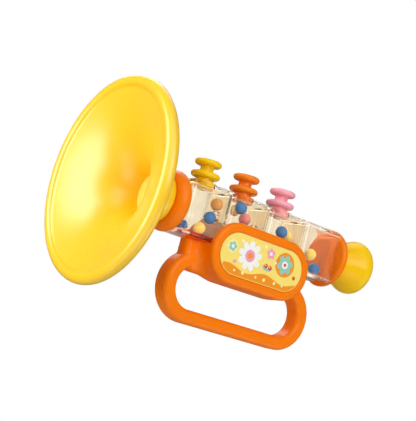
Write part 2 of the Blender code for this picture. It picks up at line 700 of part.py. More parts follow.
def housing_blank(side):
    """The housing before it is split, with the oval panel of the wanted side."""
    blank = handle_loop()
    length, height, middle_z = panel_size(side)
    saddle_start = ROW_START + SADDLE_INSET
    saddle_x = axis_x(saddle_start + SADDLE_LENGTH / 2)
    # the body is made taller than it shows, and the chambers' pocket trims its top
    tall = SADDLE_HEIGHT + CUT_OVERRUN + SADDLE_CORNER
    saddle_z = AXIS_HEIGHT + SADDLE_TOP - SADDLE_HEIGHT + tall / 2
    add(blank, edged_plate("saddle", SADDLE_LENGTH, tall, SADDLE_CORNER, SADDLE_DEPTH / 2, SADDLE_EDGE, 4,
                           (saddle_x, 0.0, saddle_z)))
    panel_place = (axis_x(GRIP_CENTRE), 0.0, middle_z)
    add(blank, edged_plate("panel", length, height, height / 2, PANEL_FACE, PANEL_EDGE, 7, panel_place))

    low = (axis_x(0.0), -CHAMBER_DEPTH / 2 - SEAT_GAP, AXIS_HEIGHT + SADDLE_TOP)
    high = (axis_x(HORN_LENGTH), CHAMBER_DEPTH / 2 + SEAT_GAP, AXIS_HEIGHT + SADDLE_TOP + PANEL_HEIGHT)
    cut(blank, block("pocket", low, high, ORANGE))

    # hollow of the lower panel and body, below the saddle's floor
    depth = PANEL_FACE - SHELL_WALL - LABEL_RECESS
    outline = rounded_outline(length - 2 * SHELL_WALL, height - 2 * SHELL_WALL, height / 2 - SHELL_WALL, 7)
    hollow = lofted("hollow", ((-depth, outline), (depth, outline)), ORANGE, "Y", panel_place)
    roof = AXIS_HEIGHT + SADDLE_TOP - SHELL_WALL
    low = (axis_x(0.0), -2 * PANEL_FACE, roof)
    high = (axis_x(HORN_LENGTH), 2 * PANEL_FACE, roof + 2 * PANEL_HEIGHT)
    cut(hollow, block("roof", low, high, ORANGE))
    cut(blank, hollow)
    for x, z, in_post in screw_places():
        if in_post:
            reach = depth + LABEL_RECESS / 2
            add(blank, rod("post", (x, z), POST_RADIUS, -reach, reach, ORANGE))
    return blank


def head_seat_y(in_post):
    """Depth of the face under a screw's head."""
    return SADDLE_DEPTH / 2 if in_post else HANDLE_DEPTH / 2 - HEAD_SEAT


def make_housing():
    """Front and rear shells, cut from one blank along the middle plane."""
    far = 2 * PANEL_FACE
    for name, side in (("front_housing", -1), ("rear_housing", 1)):
        shell = housing_blank(side)
        shell.name = name
        shell.data.name = name
        split = side * SEAT_GAP / 2
        low_y, high_y = (split, far) if side < 0 else (-far, split)
        low = (axis_x(-HORN_LENGTH), low_y, -AXIS_HEIGHT)
        high = (axis_x(2 * HORN_LENGTH), high_y, 2 * AXIS_HEIGHT)
        cut(shell, block("other_half", low, high, ORANGE))
        if side < 0:
            cut(shell, label_plate("recess", LABEL_MARGIN, -far, -PANEL_FACE + LABEL_RECESS))
        for x, z, in_post in screw_places():
            seat = head_seat_y(in_post)
            pilot = SCREW_SHANK_RADIUS + SLIDE_GAP
            well = SCREW_HEAD_RADIUS + SLIDE_GAP
            tip = screw_tip_y(in_post) - SEAT_GAP
            bore = [(tip, 0.0), (tip, pilot), (seat, pilot), (seat, well), (far, well), (far, 0.0)]
            cutter = turned("screw_bore", bore, SMALL_SEGMENTS, ORANGE)
            cutter.data.transform(Matrix.Rotation(pi / SMALL_SEGMENTS, 4, "X"))
            cutter.data.transform(Matrix.Rotation(pi / 2, 4, "Z"))
            cutter.location = (x, 0.0, z)
            cut(shell, cutter)


def label_plate(name, margin, front, back):
    """Oval plate the shape of the panel, smaller by the margin all round."""
    length, height = PANEL_LENGTH - 2 * margin, PANEL_HEIGHT - 2 * margin
    outline = rounded_outline(length, height, height / 2, 7)
    place = (axis_x(GRIP_CENTRE), 0.0, AXIS_HEIGHT + PANEL_CENTRE_Z)
    return lofted(name, ((front, outline), (back, outline)), LABEL, "Y", place)


def make_label():
    back = -PANEL_FACE + LABEL_RECESS - SLIDE_GAP
    label_plate("front_label", LABEL_MARGIN + SLIDE_GAP, back - LABEL_THICKNESS, back)


def screw_tip_y(in_post):
    """How deep a screw reaches into the front shell."""
    return -SCREW_GRIP if in_post else -min(SCREW_GRIP, HANDLE_DEPTH / 2 - SHELL_WALL / 2)


def make_screws():
    for index, (x, z, in_post) in enumerate(screw_places()):
        seat = head_seat_y(in_post) + SLIDE_GAP
        tip = screw_tip_y(in_post)
        point = SCREW_SHANK_RADIUS
        profile = [(tip, 0.0), (tip + point, SCREW_SHANK_RADIUS), (seat, SCREW_SHANK_RADIUS)]
        profile += [(seat, SCREW_HEAD_RADIUS), (seat + SCREW_HEAD_HEIGHT / 2, SCREW_HEAD_RADIUS)]
        profile += [(seat + SCREW_HEAD_HEIGHT, SCREW_HEAD_RADIUS / 2), (seat + SCREW_HEAD_HEIGHT, 0.0)]
        screw = turned(f"housing_screw_{index + 1}", profile, SMALL_SEGMENTS, STEEL)
        screw.data.transform(Matrix.Rotation(pi / 2, 4, "Z"))
        screw.location = (x, 0.0, z)


def make_end_cap():
    """Orange cap: a round-edged disc with a tapered plug that closes the last chamber."""
    bore = SPIGOT_BORE_RADIUS
    wide = CAP_THICKNESS - CAP_EDGE
    drop = CAP_RADIUS - CAP_FACE_RADIUS
    profile = [(0.0, 0.0)]
    profile += arc(CAP_EDGE, CAP_RADIUS - CAP_EDGE, CAP_EDGE, 180, 90, 3)
    for step in range(1, 6):
        angle = pi / 2 * step / 5
        profile.append((CAP_EDGE + wide * sin(angle), CAP_FACE_RADIUS + drop * cos(angle)))
    profile += [(CAP_THICKNESS, bore), (CAP_FRONT_WALL, bore), (CAP_FRONT_WALL, 0.0)]
    place = (axis_x(CAP_START), 0.0, AXIS_HEIGHT)
    cap = turned("end_cap", profile, RING_SEGMENTS, ORANGE, location=place)

    depth = CAVITY_DEPTH - 2 * SLIDE_GAP
    height = CAVITY_HEIGHT - 2 * SLIDE_GAP
    full = rounded_outline(depth, height, CAVITY_CORNER, 4)
    small = rounded_outline(depth - 2 * PLUG_TAPER, height - 2 * PLUG_TAPER, PLUG_CORNER, 4)
    tip = -PLUG_LENGTH
    layers = ((tip, small), (tip + PLUG_TAPER, full), (CAP_FRONT_WALL / 2, full))
    add(cap, lofted("plug", layers, ORANGE, "X", place))
    start = axis_x(CAP_START) - PLUG_LENGTH - CUT_OVERRUN
    end = axis_x(CAP_START) + CAP_FRONT_WALL + CUT_OVERRUN
    cut(cap, rod("air_hole", (0.0, AXIS_HEIGHT), AIR_HOLE_RADIUS, start, end, ORANGE, "X"))


def make_mouthpiece():
    """Yellow mouthpiece: spigot with the reed's pocket, a swelling cup and a rounded rim."""
    rim = (HORN_LENGTH - MOUTH_RIM_RADIUS, MOUTH_RADIUS - MOUTH_RIM_RADIUS)
    profile = [(MOUTH_SPIGOT_START, REED_POCKET_RADIUS), (MOUTH_SPIGOT_START, MOUTH_SPIGOT_RADIUS)]
    profile += [(MOUTH_START, MOUTH_SPIGOT_RADIUS), (MOUTH_START, MOUTH_NECK_RADIUS)]
    swell = MOUTH_RADIUS - MOUTH_NECK_RADIUS
    run = rim[0] - MOUTH_START
    for share in (0.2, 0.4, 0.6, 0.8):
        rise = share * share * (3 - 2 * share)
        profile.append((MOUTH_START + run * share, MOUTH_NECK_RADIUS + swell * rise))
    profile += arc(*rim, MOUTH_RIM_RADIUS, 90, -35, 7)
    dish = profile[-1]
    profile += [((dish[0] + REED_POCKET_END) / 2, MOUTH_BORE_RADIUS), (REED_POCKET_END, MOUTH_BORE_RADIUS)]
    profile += [(REED_POCKET_END, REED_POCKET_RADIUS)]
    place = (axis_x(0.0), 0.0, AXIS_HEIGHT)
    turned("mouthpiece", profile, RING_SEGMENTS, YELLOW, location=place)


def make_reed():
    """Whistle insert: a slotted reed holder with a thin tongue over its air slot."""
    middle = (0.0, AXIS_HEIGHT)
    start = axis_x(REED_START)
    end = start + REED_LENGTH
    holder = rod("reed_holder", middle, REED_RADIUS, start, end, WHITE, "X", BUTTON_SEGMENTS)
    half = REED_SLOT_WIDTH / 2
    low = (start - CUT_OVERRUN, -half, AXIS_HEIGHT - REED_SLOT_HEIGHT)
    high = (end - REED_SLOT_HEIGHT / 2, half, AXIS_HEIGHT)
    cut(holder, block("air_slot", low, high, WHITE))
    wide = REED_SLOT_WIDTH
    tongue_room = REED_TONGUE_THICKNESS + 2 * SLIDE_GAP
    low = (end - REED_TONGUE_LENGTH - SEAT_GAP, -wide, AXIS_HEIGHT)
    high = (end + CUT_OVERRUN, wide, AXIS_HEIGHT + tongue_room)
    cut(holder, block("tongue_slot", low, high, WHITE))
    low = (end - REED_TONGUE_LENGTH, -half - SLIDE_GAP, AXIS_HEIGHT + SLIDE_GAP)
    high = (end - SEAT_GAP, half + SLIDE_GAP, AXIS_HEIGHT + SLIDE_GAP + REED_TONGUE_THICKNESS)
    block("reed_tongue", low, high, STEEL)


def build():
    clear_scene()
    make_bell()
    make_collar()
    for index in range(CHAMBER_COUNT):
        make_chamber(index)
    for index in range(CHAMBER_COUNT - 1):
        make_divider(index)
    for index, (colour_name, look) in enumerate(BUTTONS):
        make_button(index, colour_name, look)
    placed = {}
    for name, look, chamber, along_share, row, level in BALL_PLACE_SHARES:
        placed[name] = ball_place(chamber, along_share, row, level, placed)
        make_ball(name, look, placed[name])
    make_housing()
    make_label()
    make_screws()
    make_end_cap()
    make_mouthpiece()
    make_reed()


build()
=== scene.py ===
"""Looks of the toy horn: glossy mouldings, clear chambers, print, screws, light and camera."""

from math import cos, exp, pi, radians, sin, sqrt

import bmesh
import bpy
import numpy as np
from mathutils import Matrix, Vector


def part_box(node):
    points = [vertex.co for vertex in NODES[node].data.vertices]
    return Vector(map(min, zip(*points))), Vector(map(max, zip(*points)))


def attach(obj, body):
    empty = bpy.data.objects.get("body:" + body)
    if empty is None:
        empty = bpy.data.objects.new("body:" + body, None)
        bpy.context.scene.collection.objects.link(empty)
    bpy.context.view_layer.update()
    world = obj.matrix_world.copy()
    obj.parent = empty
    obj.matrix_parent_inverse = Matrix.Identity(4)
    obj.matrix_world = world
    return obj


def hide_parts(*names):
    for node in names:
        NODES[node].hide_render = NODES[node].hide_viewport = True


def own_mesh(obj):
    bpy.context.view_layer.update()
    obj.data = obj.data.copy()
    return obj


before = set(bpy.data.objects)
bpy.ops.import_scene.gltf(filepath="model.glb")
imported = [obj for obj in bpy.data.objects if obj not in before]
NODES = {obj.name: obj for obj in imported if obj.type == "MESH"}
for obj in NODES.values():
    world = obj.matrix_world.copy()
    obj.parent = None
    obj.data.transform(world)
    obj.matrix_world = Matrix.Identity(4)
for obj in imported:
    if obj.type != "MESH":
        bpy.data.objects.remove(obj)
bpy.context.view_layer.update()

MM = 0.001


def node_box(name):
    """Lowest and highest corner of a CAD node, in millimetres."""
    low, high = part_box(name)
    return np.array(low) / MM, np.array(high) / MM


# places read from the frame
BELL_LO, BELL_HI = node_box("bell")
AXIS_Z = (BELL_LO[2] + BELL_HI[2]) / 2
BELL_R = (BELL_HI[2] - BELL_LO[2]) / 2
COLLAR_LO = node_box("collar_ring")[0]
FRONT_LO, FRONT_HI = node_box("front_housing")
REAR_LO, REAR_HI = node_box("rear_housing")
LABEL_LO, LABEL_HI = node_box("front_label")
CAP_HI = node_box("end_cap")[1]
MOUTH_HI = node_box("mouthpiece")[1]

# sizes that several pieces share, in millimetres
THROAT_R, FLARE_FADE = 5.4, 8.5
CUP_LONG, CUP_WALL = 19.5, 1.4
CUP_HALF_Y, CUP_HALF_Z = 8.5, 10.8
AIR_WAY_R = 1.5


# ---------------------------------------------------------------- materials

# noise scales, per metre: broad flow marks, rub marks and the skin's fine peel
FLOW, RUB, FINE_RUB, PEEL = 45.0, 260.0, 300.0, 700.0


def new_material(name):
    made = bpy.data.materials.new(name)
    made.use_nodes = True
    return made, made.node_tree, made.node_tree.nodes["Principled BSDF"]


def object_space(tree):
    return tree.nodes.new("ShaderNodeTexCoord").outputs["Object"]


def noise(tree, vector, scale, detail=3.0, roughness=0.5):
    made = tree.nodes.new("ShaderNodeTexNoise")
    made.inputs["Scale"].default_value = scale
    made.inputs["Detail"].default_value = detail
    made.inputs["Roughness"].default_value = roughness
    tree.links.new(vector, made.inputs["Vector"])
    return made.outputs["Fac"]


def ramp(tree, fac, stops):
    made = tree.nodes.new("ShaderNodeValToRGB")
    elements = made.color_ramp.elements
    while len(elements) < len(stops):
        elements.new(0.5)
    for element, (place, colour) in zip(elements, stops):
        element.position = place
        element.color = (*colour, 1.0)
    tree.links.new(fac, made.inputs["Fac"])
    return made.outputs["Color"]


def map_range(tree, value, start, end, low=0.0, high=1.0):
    made = tree.nodes.new("ShaderNodeMapRange")
    for socket, number in zip(("From Min", "From Max", "To Min", "To Max"), (start, end, low, high)):
        made.inputs[socket].default_value = number
    tree.links.new(value, made.inputs["Value"])
    return made.outputs["Result"]


def spread(tree, fac, low, high):
    """Stretches a noise, which stays near 0.5, over the range from low to high."""
    return map_range(tree, fac, 0.3, 0.7, low, high)


def combine(tree, operation, first, second):
    made = tree.nodes.new("ShaderNodeMath")
    made.operation = operation
    tree.links.new(first, made.inputs[0])
    tree.links.new(second, made.inputs[1])
    return made.outputs[0]


def bump(tree, height, strength, distance):
    made = tree.nodes.new("ShaderNodeBump")
    made.inputs["Strength"].default_value = strength
    made.inputs["Distance"].default_value = distance
    tree.links.new(height, made.inputs["Height"])
    return made.outputs["Normal"]


def mix_shaders(tree, fac, first, second, surface):
    mix = tree.nodes.new("ShaderNodeMixShader")
    for source, socket in zip((fac, first, second), mix.inputs):
        tree.links.new(source, socket)
    tree.links.new(mix.outputs[0], surface)


def moulded(name, colour, rough=(0.22, 0.30), coat=0.30, skin=0.06, base=0.30, coat_index=1.5):
    """Glossy moulded plastic: faint flow marks in the colour, fine peel and rub marks.

    skin is the coat's roughness, and base the gloss under it."""
    made, tree, shader = new_material(name)
    vector = object_space(tree)
    vary = 0.03
    dark = tuple(c * (1 - vary) for c in colour)
    light = tuple(min(1.0, c * (1 + vary)) for c in colour)
    flow = ramp(tree, noise(tree, vector, FLOW, 2.0), [(0.3, dark), (0.7, light)])
    rub = noise(tree, vector, RUB, 4.0, 0.6)
    peel = noise(tree, vector, PEEL, 1.0)
    tree.links.new(flow, shader.inputs["Base Color"])
    tree.links.new(spread(tree, rub, *rough), shader.inputs["Roughness"])
    tree.links.new(bump(tree, peel, 0.03, 0.00004), shader.inputs["Normal"])
    shader.inputs["IOR"].default_value = 1.5
    shader.inputs["Specular IOR Level"].default_value = base
    shader.inputs["Coat Weight"].default_value = coat
    shader.inputs["Coat Roughness"].default_value = skin
    shader.inputs["Coat IOR"].default_value = coat_index
    return made


def painted_saddle_see_through(tree, vector, tint, height, colour):
    """The tint, painted the saddle's red-orange below a height and past the saddle's edge: painted
    light standing in for the saddle seen through the clear floor.
    """
    above, below, saddle_edge, saddle_full, before = 0.6, 0.3, -27.5, -25.0, 0.25
    split = tree.nodes.new("ShaderNodeSeparateXYZ")
    tree.links.new(vector, split.inputs[0])
    level = map_range(tree, split.outputs["Z"], (height + above) * MM, (height - below) * MM)
    along = map_range(tree, split.outputs["X"], saddle_edge * MM, saddle_full * MM, before)
    blend = tree.nodes.new("ShaderNodeMix")
    blend.data_type = "RGBA"
    blend.inputs["B"].default_value = (*colour, 1.0)
    tree.links.new(combine(tree, "MULTIPLY", level, along), blend.inputs["Factor"])
    tree.links.new(tint, blend.inputs["A"])
    return blend.outputs["Result"]


def clear(name, colour, glow=None):
    """Clear moulded plastic with a warm tint, faint drag streaks and a glossy skin.

    With glow, (height, colour), the tint below that height is painted in the saddle's colour: painted
    light for the saddle seen through the floor, not a glow of the plastic."""
    made, tree, shader = new_material(name)
    vector = object_space(tree)
    stretch = tree.nodes.new("ShaderNodeMapping")
    stretch.inputs["Scale"].default_value = (1.0, 1.0, 0.10)
    tree.links.new(vector, stretch.inputs["Vector"])
    streak = noise(tree, stretch.outputs["Vector"], 420.0, 3.0, 0.65)
    dark = tuple(c * 0.90 for c in colour)
    light = tuple(min(1.0, c * 1.03) for c in colour)
    tint = ramp(tree, streak, [(0.30, dark), (0.52, light)])
    # painted light: the saddle's red-orange under the floor is painted into the tint
    if glow:
        tint = painted_saddle_see_through(tree, vector, tint, *glow)
    rough = spread(tree, noise(tree, vector, FINE_RUB), 0.01, 0.032)
    tree.links.new(tint, shader.inputs["Base Color"])
    tree.links.new(rough, shader.inputs["Roughness"])
    tree.links.new(bump(tree, streak, 0.10, 0.00004), shader.inputs["Coat Normal"])
    shader.inputs["Transmission Weight"].default_value = 1.0
    # thick walls of plain plastic bend more than the photo's: a low index, and the gloss in the coat
    shader.inputs["IOR"].default_value = 1.14
    shader.inputs["Coat Weight"].default_value = 1.0
    shader.inputs["Coat IOR"].default_value = 1.5
    shader.inputs["Coat Roughness"].default_value = 0.03
    # lamps light what is inside the clear walls
    path = tree.nodes.new("ShaderNodeLightPath")
    through = tree.nodes.new("ShaderNodeBsdfTransparent")
    through.inputs["Color"].default_value = (0.93, 0.90, 0.82, 1.0)
    mix_shaders(tree, path.outputs["Is Shadow Ray"], shader.outputs[0], through.outputs[0],
                tree.nodes["Material Output"].inputs["Surface"])
    return made


def printed(name, colour):
    """Print ink on a smooth film: even colour with a fine grain."""
    made, tree, shader = new_material(name)
    vector = object_space(tree)
    grain = noise(tree, vector, 1500.0, 2.0)
    dark = tuple(c * 0.965 for c in colour)
    rough = spread(tree, noise(tree, vector, FINE_RUB), 0.34, 0.42)
    tree.links.new(ramp(tree, grain, [(0.35, dark), (0.65, colour)]), shader.inputs["Base Color"])
    tree.links.new(rough, shader.inputs["Roughness"])
    tree.links.new(bump(tree, noise(tree, vector, PEEL), 0.06, 0.00002), shader.inputs["Normal"])
    return made


def metal(name, colour, rough=0.28):
    made, tree, shader = new_material(name)
    brushed = noise(tree, object_space(tree), PEEL, 4.0)
    dark = tuple(c * 0.85 for c in colour)
    tree.links.new(ramp(tree, brushed, [(0.35, dark), (0.65, colour)]), shader.inputs["Base Color"])
    tree.links.new(spread(tree, brushed, rough * 0.8, rough * 1.3), shader.inputs["Roughness"])
    tree.links.new(bump(tree, brushed, 0.15, 0.00003), shader.inputs["Normal"])
    shader.inputs["Metallic"].default_value = 1.0
    return made


YELLOW_COLOUR = (0.96, 0.59, 0.001)
ORANGE_COLOUR = (0.93, 0.205, 0.001)
CLEAR_COLOUR = (0.95, 0.875, 0.74)
CUP_FLOOR = AXIS_Z - CUP_HALF_Z + CUP_WALL

MAT = {
    "bell": moulded("bell_yellow", YELLOW_COLOUR, (0.26, 0.34), coat=1.0, skin=0.31, base=0.08,
                    coat_index=1.74),
    "mouth": moulded("mouthpiece_yellow", YELLOW_COLOUR, (0.26, 0.34), coat=0.3, skin=0.16, base=0.10),
    "yellow": moulded("button_yellow", (0.92, 0.60, 0.001), coat=0.15, base=0.2),
    "orange": moulded("moulded_orange", ORANGE_COLOUR, (0.30, 0.38), coat=0.12, base=0.12),
    # the plug is the end cap's orange painted darker: painted shade for its place behind the last
    # chamber's clear walls
    "plug": moulded("plug_orange_painted_shade", (0.64, 0.15, 0.02), (0.34, 0.44), coat=0.05, base=0.10),
    "orange_button": moulded("button_orange", (0.92, 0.225, 0.003), coat=0.15, base=0.25),
    "pink": moulded("button_pink", (0.95, 0.40, 0.47)),
    "ball_yellow": moulded("ball_yellow", (0.86, 0.66, 0.20), coat=0.25, base=0.08),
    "ball_blue": moulded("ball_blue", (0.02, 0.16, 0.52), coat=0.25, base=0.08),
    "ball_pink": moulded("ball_pink", (0.80, 0.25, 0.30), coat=0.25, base=0.08),
    "ball_orange": moulded("ball_orange", (0.58, 0.27, 0.06), coat=0.25, base=0.08),
    "white": moulded("insert_white", (0.80, 0.79, 0.75), (0.35, 0.45), coat=0.0),
    # the chambers' floors carry painted light: the red-orange saddle beneath them is painted into the
    # clear tint
    "clear": clear("clear_body", CLEAR_COLOUR, (CUP_FLOOR, (0.95, 0.10, 0.03))),
    "clear_end": clear("clear_end", CLEAR_COLOUR),
    "steel": metal("plated_steel", (0.62, 0.62, 0.64)),
}


# ---------------------------------------------------------------- mesh helpers


def link(made):
    bpy.context.scene.collection.objects.link(made)
    return made


def mesh_object(name, bm):
    """A linked object from a bmesh in millimetres, its faces turned outwards."""
    bmesh.ops.recalc_face_normals(bm, faces=bm.faces)
    mesh = bpy.data.meshes.new(name)
    bm.to_mesh(mesh)
    bm.free()
    mesh.transform(Matrix.Scale(MM, 4))
    return link(bpy.data.objects.new(name, mesh))


def smooth(mesh, sharp):
    """Smooth shading, with edges that turn by more than sharp degrees kept hard."""
    mesh.shade_smooth()
    if sharp:
        mesh.set_sharp_from_angle(angle=radians(sharp))


def finish_piece(name, bm, material, body="horn_body", replaced=(), slot=None, sharp=38.0,
                 location=None):
    """Turns a bmesh in millimetres into a piece that rides on a body of the frame."""
    made = mesh_object(name, bm)
    made.data.materials.append(material)
    if location is not None:
        made.location = Vector(location) * MM
    smooth(made.data, sharp)
    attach(made, body)
    if replaced:
        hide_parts(*replaced)
    return made


def cut_with(target, bm, operation="DIFFERENCE"):
    """Takes a bmesh away from a piece, or joins it on."""
    tool = mesh_object("cutter", bm)
    bpy.context.view_layer.update()
    modifier = target.modifiers.new("cut", "BOOLEAN")
    modifier.operation = operation
    modifier.solver = "EXACT"
    modifier.object = tool
    graph = bpy.context.evaluated_depsgraph_get()
    result = bpy.data.meshes.new_from_object(target.evaluated_get(graph))
    target.modifiers.clear()
    old = target.data
    target.data = result
    result.name = old.name
    bpy.data.meshes.remove(old)
    bpy.data.objects.remove(tool, do_unlink=True)


def lathe(profile, segments, upright=False, offset=(0.0, 0.0, 0.0), phase=0.5):
    """Spins a closed profile of (along, radius) points about X, or about Z if upright."""
    bm = bmesh.new()
    rings = []
    for along, radius in profile:
        ring = []
        for step in range(segments if radius > 1e-6 else 1):
            angle = 2 * pi * (step + phase) / segments
            side = radius * cos(angle)
            rise = radius * sin(angle)
            place = (side, rise, along) if upright else (along, side, rise)
            ring.append(bm.verts.new(Vector(place) + Vector(offset)))
        rings.append(ring)
    for ring, following in zip(rings, rings[1:] + rings[:1]):
        for step in range(segments):
            after = (step + 1) % segments
            corners = [ring[step % len(ring)], ring[after % len(ring)]]
            corners += [following[after % len(following)], following[step % len(following)]]
            unique = list(dict.fromkeys(corners))
            if len(unique) > 2:
                bm.faces.new(unique)
    return bm


def rod(start, end, radius, **options):
    return lathe([(start, 0.0), (start, radius), (end, radius), (end, 0.0)], 40, **options)


def bridge(bm, rings):
    """Joins rings of vertices, each to the next, and closes both ends."""
    for ring, following in zip(rings, rings[1:]):
        for step in range(len(ring)):
            after = (step + 1) % len(ring)
            bm.faces.new((ring[step], ring[after], following[after], following[step]))
    bm.faces.new(rings[0])
    bm.faces.new(rings[-1])


def arc(along, radius, reach, start_deg, end_deg, steps):
    points = []
    for step in range(steps + 1):
        angle = radians(start_deg + (end_deg - start_deg) * step / steps)
        points.append((along + reach * cos(angle), radius + reach * sin(angle)))
    return points


def rounded_outline(width, height, corner, steps=10):
    corner = min(corner, width / 2, height / 2)
    points = []
    for quarter, (side, rise) in enumerate(((1, 1), (-1, 1), (-1, -1), (1, -1))):
        centre = (side * (width / 2 - corner), rise * (height / 2 - corner))
        for step in range(steps + 1):
            angle = pi / 2 * (quarter + step / steps)
            points.append((centre[0] + corner * cos(angle), centre[1] + corner * sin(angle)))
    return points


def surface_net(distance, low, high, cell):
    """Closed mesh of the zero level of a distance function, by surface nets, in millimetres."""
    counts = [int(np.ceil((end - start) / cell)) + 1 for start, end in zip(low, high)]
    axes = [start + cell * np.arange(n) for start, n in zip(low, counts)]
    grid = np.stack(np.meshgrid(*axes, indexing="ij"), -1)
    field = distance(grid.reshape(-1, 3)).reshape(counts)
    inside = field < 0
    total = np.zeros([n - 1 for n in counts] + [3])
    hits = np.zeros([n - 1 for n in counts])

    def corner(values, c):
        return values[tuple(slice(step, n - 1 + step) for step, n in zip(c, counts))]

    # each cell's point is the mean of the places where the surface crosses its edges
    for a in [(i, j, k) for i in (0, 1) for j in (0, 1) for k in (0, 1)]:
        for axis in range(3):
            if a[axis]:
                continue
            b = tuple(v + (1 if n == axis else 0) for n, v in enumerate(a))
            fa, fb = corner(field, a), corner(field, b)
            crossed = corner(inside, a) != corner(inside, b)
            share = np.where(crossed, fa / np.where(crossed, fa - fb, 1.0), 0.0)
            point = np.stack([np.full(share.shape, float(v)) for v in a], -1)
            point[..., axis] += share
            total += point * crossed[..., None]
            hits += crossed
    used = hits > 0
    index = np.full(used.shape, -1)
    index[used] = np.arange(used.sum())
    cells = np.argwhere(used)
    points = (cells + total[used] / hits[used][:, None]) * cell + np.array(low)
    # the points then move on to the surface
    step = 0.02
    for _ in range(4):
        value = distance(points)
        ways = np.eye(3) * step
        slope = [(distance(points + way) - distance(points - way)) / (2 * step) for way in ways]
        slope = np.stack(slope, -1)
        slope /= np.maximum(np.linalg.norm(slope, axis=1, keepdims=True), 1e-6)
        points = points - np.clip(value, -cell, cell)[:, None] * slope * 0.9
    # one face for each grid edge that the surface crosses
    faces = []
    for axis in range(3):
        u, v = [n for n in range(3) if n != axis]
        first = [slice(None)] * 3
        second = [slice(None)] * 3
        first[axis] = slice(0, -1)
        second[axis] = slice(1, None)
        places = np.argwhere(inside[tuple(first)] != inside[tuple(second)])
        across = places[:, [u, v]]
        places = places[((across > 0) & (across < np.array([counts[u], counts[v]]) - 1)).all(axis=1)]
        quad = []
        for du, dv in ((-1, -1), (0, -1), (0, 0), (-1, 0)):
            at = places.copy()
            at[:, u] += du
            at[:, v] += dv
            quad.append(index[at[:, 0], at[:, 1], at[:, 2]])
        quad = np.stack(quad, -1)
        solid_first = inside[places[:, 0], places[:, 1], places[:, 2]]
        flip = solid_first if axis != 1 else ~solid_first
        faces.append(np.where(flip[:, None], quad, quad[:, ::-1]))
    return points, np.concatenate(faces)


def keep_half(bm, side, split):
    """Cuts a solid at y = split and keeps the side asked for, with a flat face on the cut."""
    found = bmesh.ops.bisect_plane(bm, geom=bm.verts[:] + bm.edges[:] + bm.faces[:], dist=0.001,
                                   plane_co=(0, split, 0), plane_no=(0, -side, 0), clear_outer=True)
    rim = [e for e in found["geom_cut"] if isinstance(e, bmesh.types.BMEdge)]
    bmesh.ops.triangle_fill(bm, edges=rim, use_beauty=True)


def net_piece(name, distance, low, high, cell, material, half, **options):
    points, faces = surface_net(distance, low, high, cell)
    bm = bmesh.new()
    verts = [bm.verts.new(p) for p in points]
    for quad in faces:
        corners = list(dict.fromkeys(int(i) for i in quad))
        if len(corners) > 2 and -1 not in corners:
            try:
                bm.faces.new([verts[i] for i in corners])
            except ValueError:
                # two cells that touch along one edge give the same face twice
                pass
    bmesh.ops.dissolve_degenerate(bm, edges=bm.edges, dist=0.01)
    loose = [v for v in bm.verts if not v.link_faces]
    bmesh.ops.delete(bm, geom=loose, context="VERTS")
    keep_half(bm, *half)
    return finish_piece(name, bm, material, **options)


# ---------------------------------------------------------------- bell


def flare(place, crease):
    """The bell's inner radius at a place along it, falling off from the crease at the rim."""
    return THROAT_R + (crease[1] - THROAT_R) * exp(-(place - crease[0]) / FLARE_FADE)


def make_bell():
    start, length = BELL_LO[0], BELL_HI[0] - BELL_LO[0]
    tube, wall = 2.65, 1.7
    neck_long, socket_deep, neck_r, narrowest = 6.6, 4.5, 9.5, 5.42
    centre = (tube, BELL_R - tube)
    crease = arc(*centre, tube, 235, 235, 1)[0]
    neck_start = length - neck_long
    shoulder = length - socket_deep
    # inside, from the crease at the rim down to the socket
    inner = [(crease[0] + 0.12, crease[1] - 0.30)]
    for step in range(1, 33):
        share = step / 32
        place = crease[0] + 0.25 + (shoulder - 1.0 - crease[0]) * share**1.4
        inner.append((place, max(flare(place, crease), narrowest)))
    # the throat closes to the air way just before chamber 1's spigot
    lip = ((0.72, 7.6), (0.50, 6.4), (0.34, 4.6), (0.28, 2.6), (0.20, 1.9), (0.06, 1.9))
    inner += [(shoulder - before, radius) for before, radius in lip]
    inner += [(shoulder, 2.0), (shoulder, 5.4), (length - 0.3, 5.35), (length, 5.5)]
    # the beaded neck and the flare's back
    neck = [(length, 9.2)]
    for step in range(13):
        share = step / 12
        bead = 0.7 * sin(pi * share) ** 1.2
        neck.append((length - 0.15 - share * (neck_long - 0.15), neck_r + bead + wall * share / 3))
    outer = []
    for step in range(1, 28):
        share = 1 - step / 28.6
        place = crease[0] + (neck_start - crease[0]) * share**1.5
        radius = flare(place, crease)
        slope = -(radius - THROAT_R) / FLARE_FADE
        steep = sqrt(1 + slope * slope)
        point = (place - slope / steep * wall, radius + wall / steep)
        if point[0] < (outer or neck)[-1][0] and point[1] > (outer or neck)[-1][1]:
            outer.append(point)
    # leave the rim's tube free of points that lie inside it
    outer = [p for p in outer if sqrt((p[0] - centre[0]) ** 2 + (p[1] - centre[1]) ** 2) > tube + 0.25]
    back = arc(*centre, tube, -58, 165, 26)
    front = arc(*centre, tube, 195, 232, 6)
    land = [(0.0, centre[1] + 0.35), (0.0, centre[1] - 0.35)]
    bm = lathe(inner + neck + outer + back + land + front, 144, offset=(start, 0.0, AXIS_Z))
    finish_piece("bell_flare", bm, MAT["bell"], replaced=["bell"], slot="yellow_plastic", sharp=50.0)


# ---------------------------------------------------------------- collar, cap, mouthpiece


def make_collar():
    half_thick, radius, bore, edge = 3.4, 12.0, 5.25, 0.15
    outside = arc(half_thick, radius - half_thick, half_thick, 178, 2, 40)
    profile = [(edge, bore)] + outside + [(2 * half_thick - edge, bore)]
    bm = lathe(profile, 96, offset=(COLLAR_LO[0], 0.0, AXIS_Z))
    finish_piece("collar", bm, MAT["orange"], replaced=["collar_ring"], slot="orange_plastic",
                 sharp=60.0)


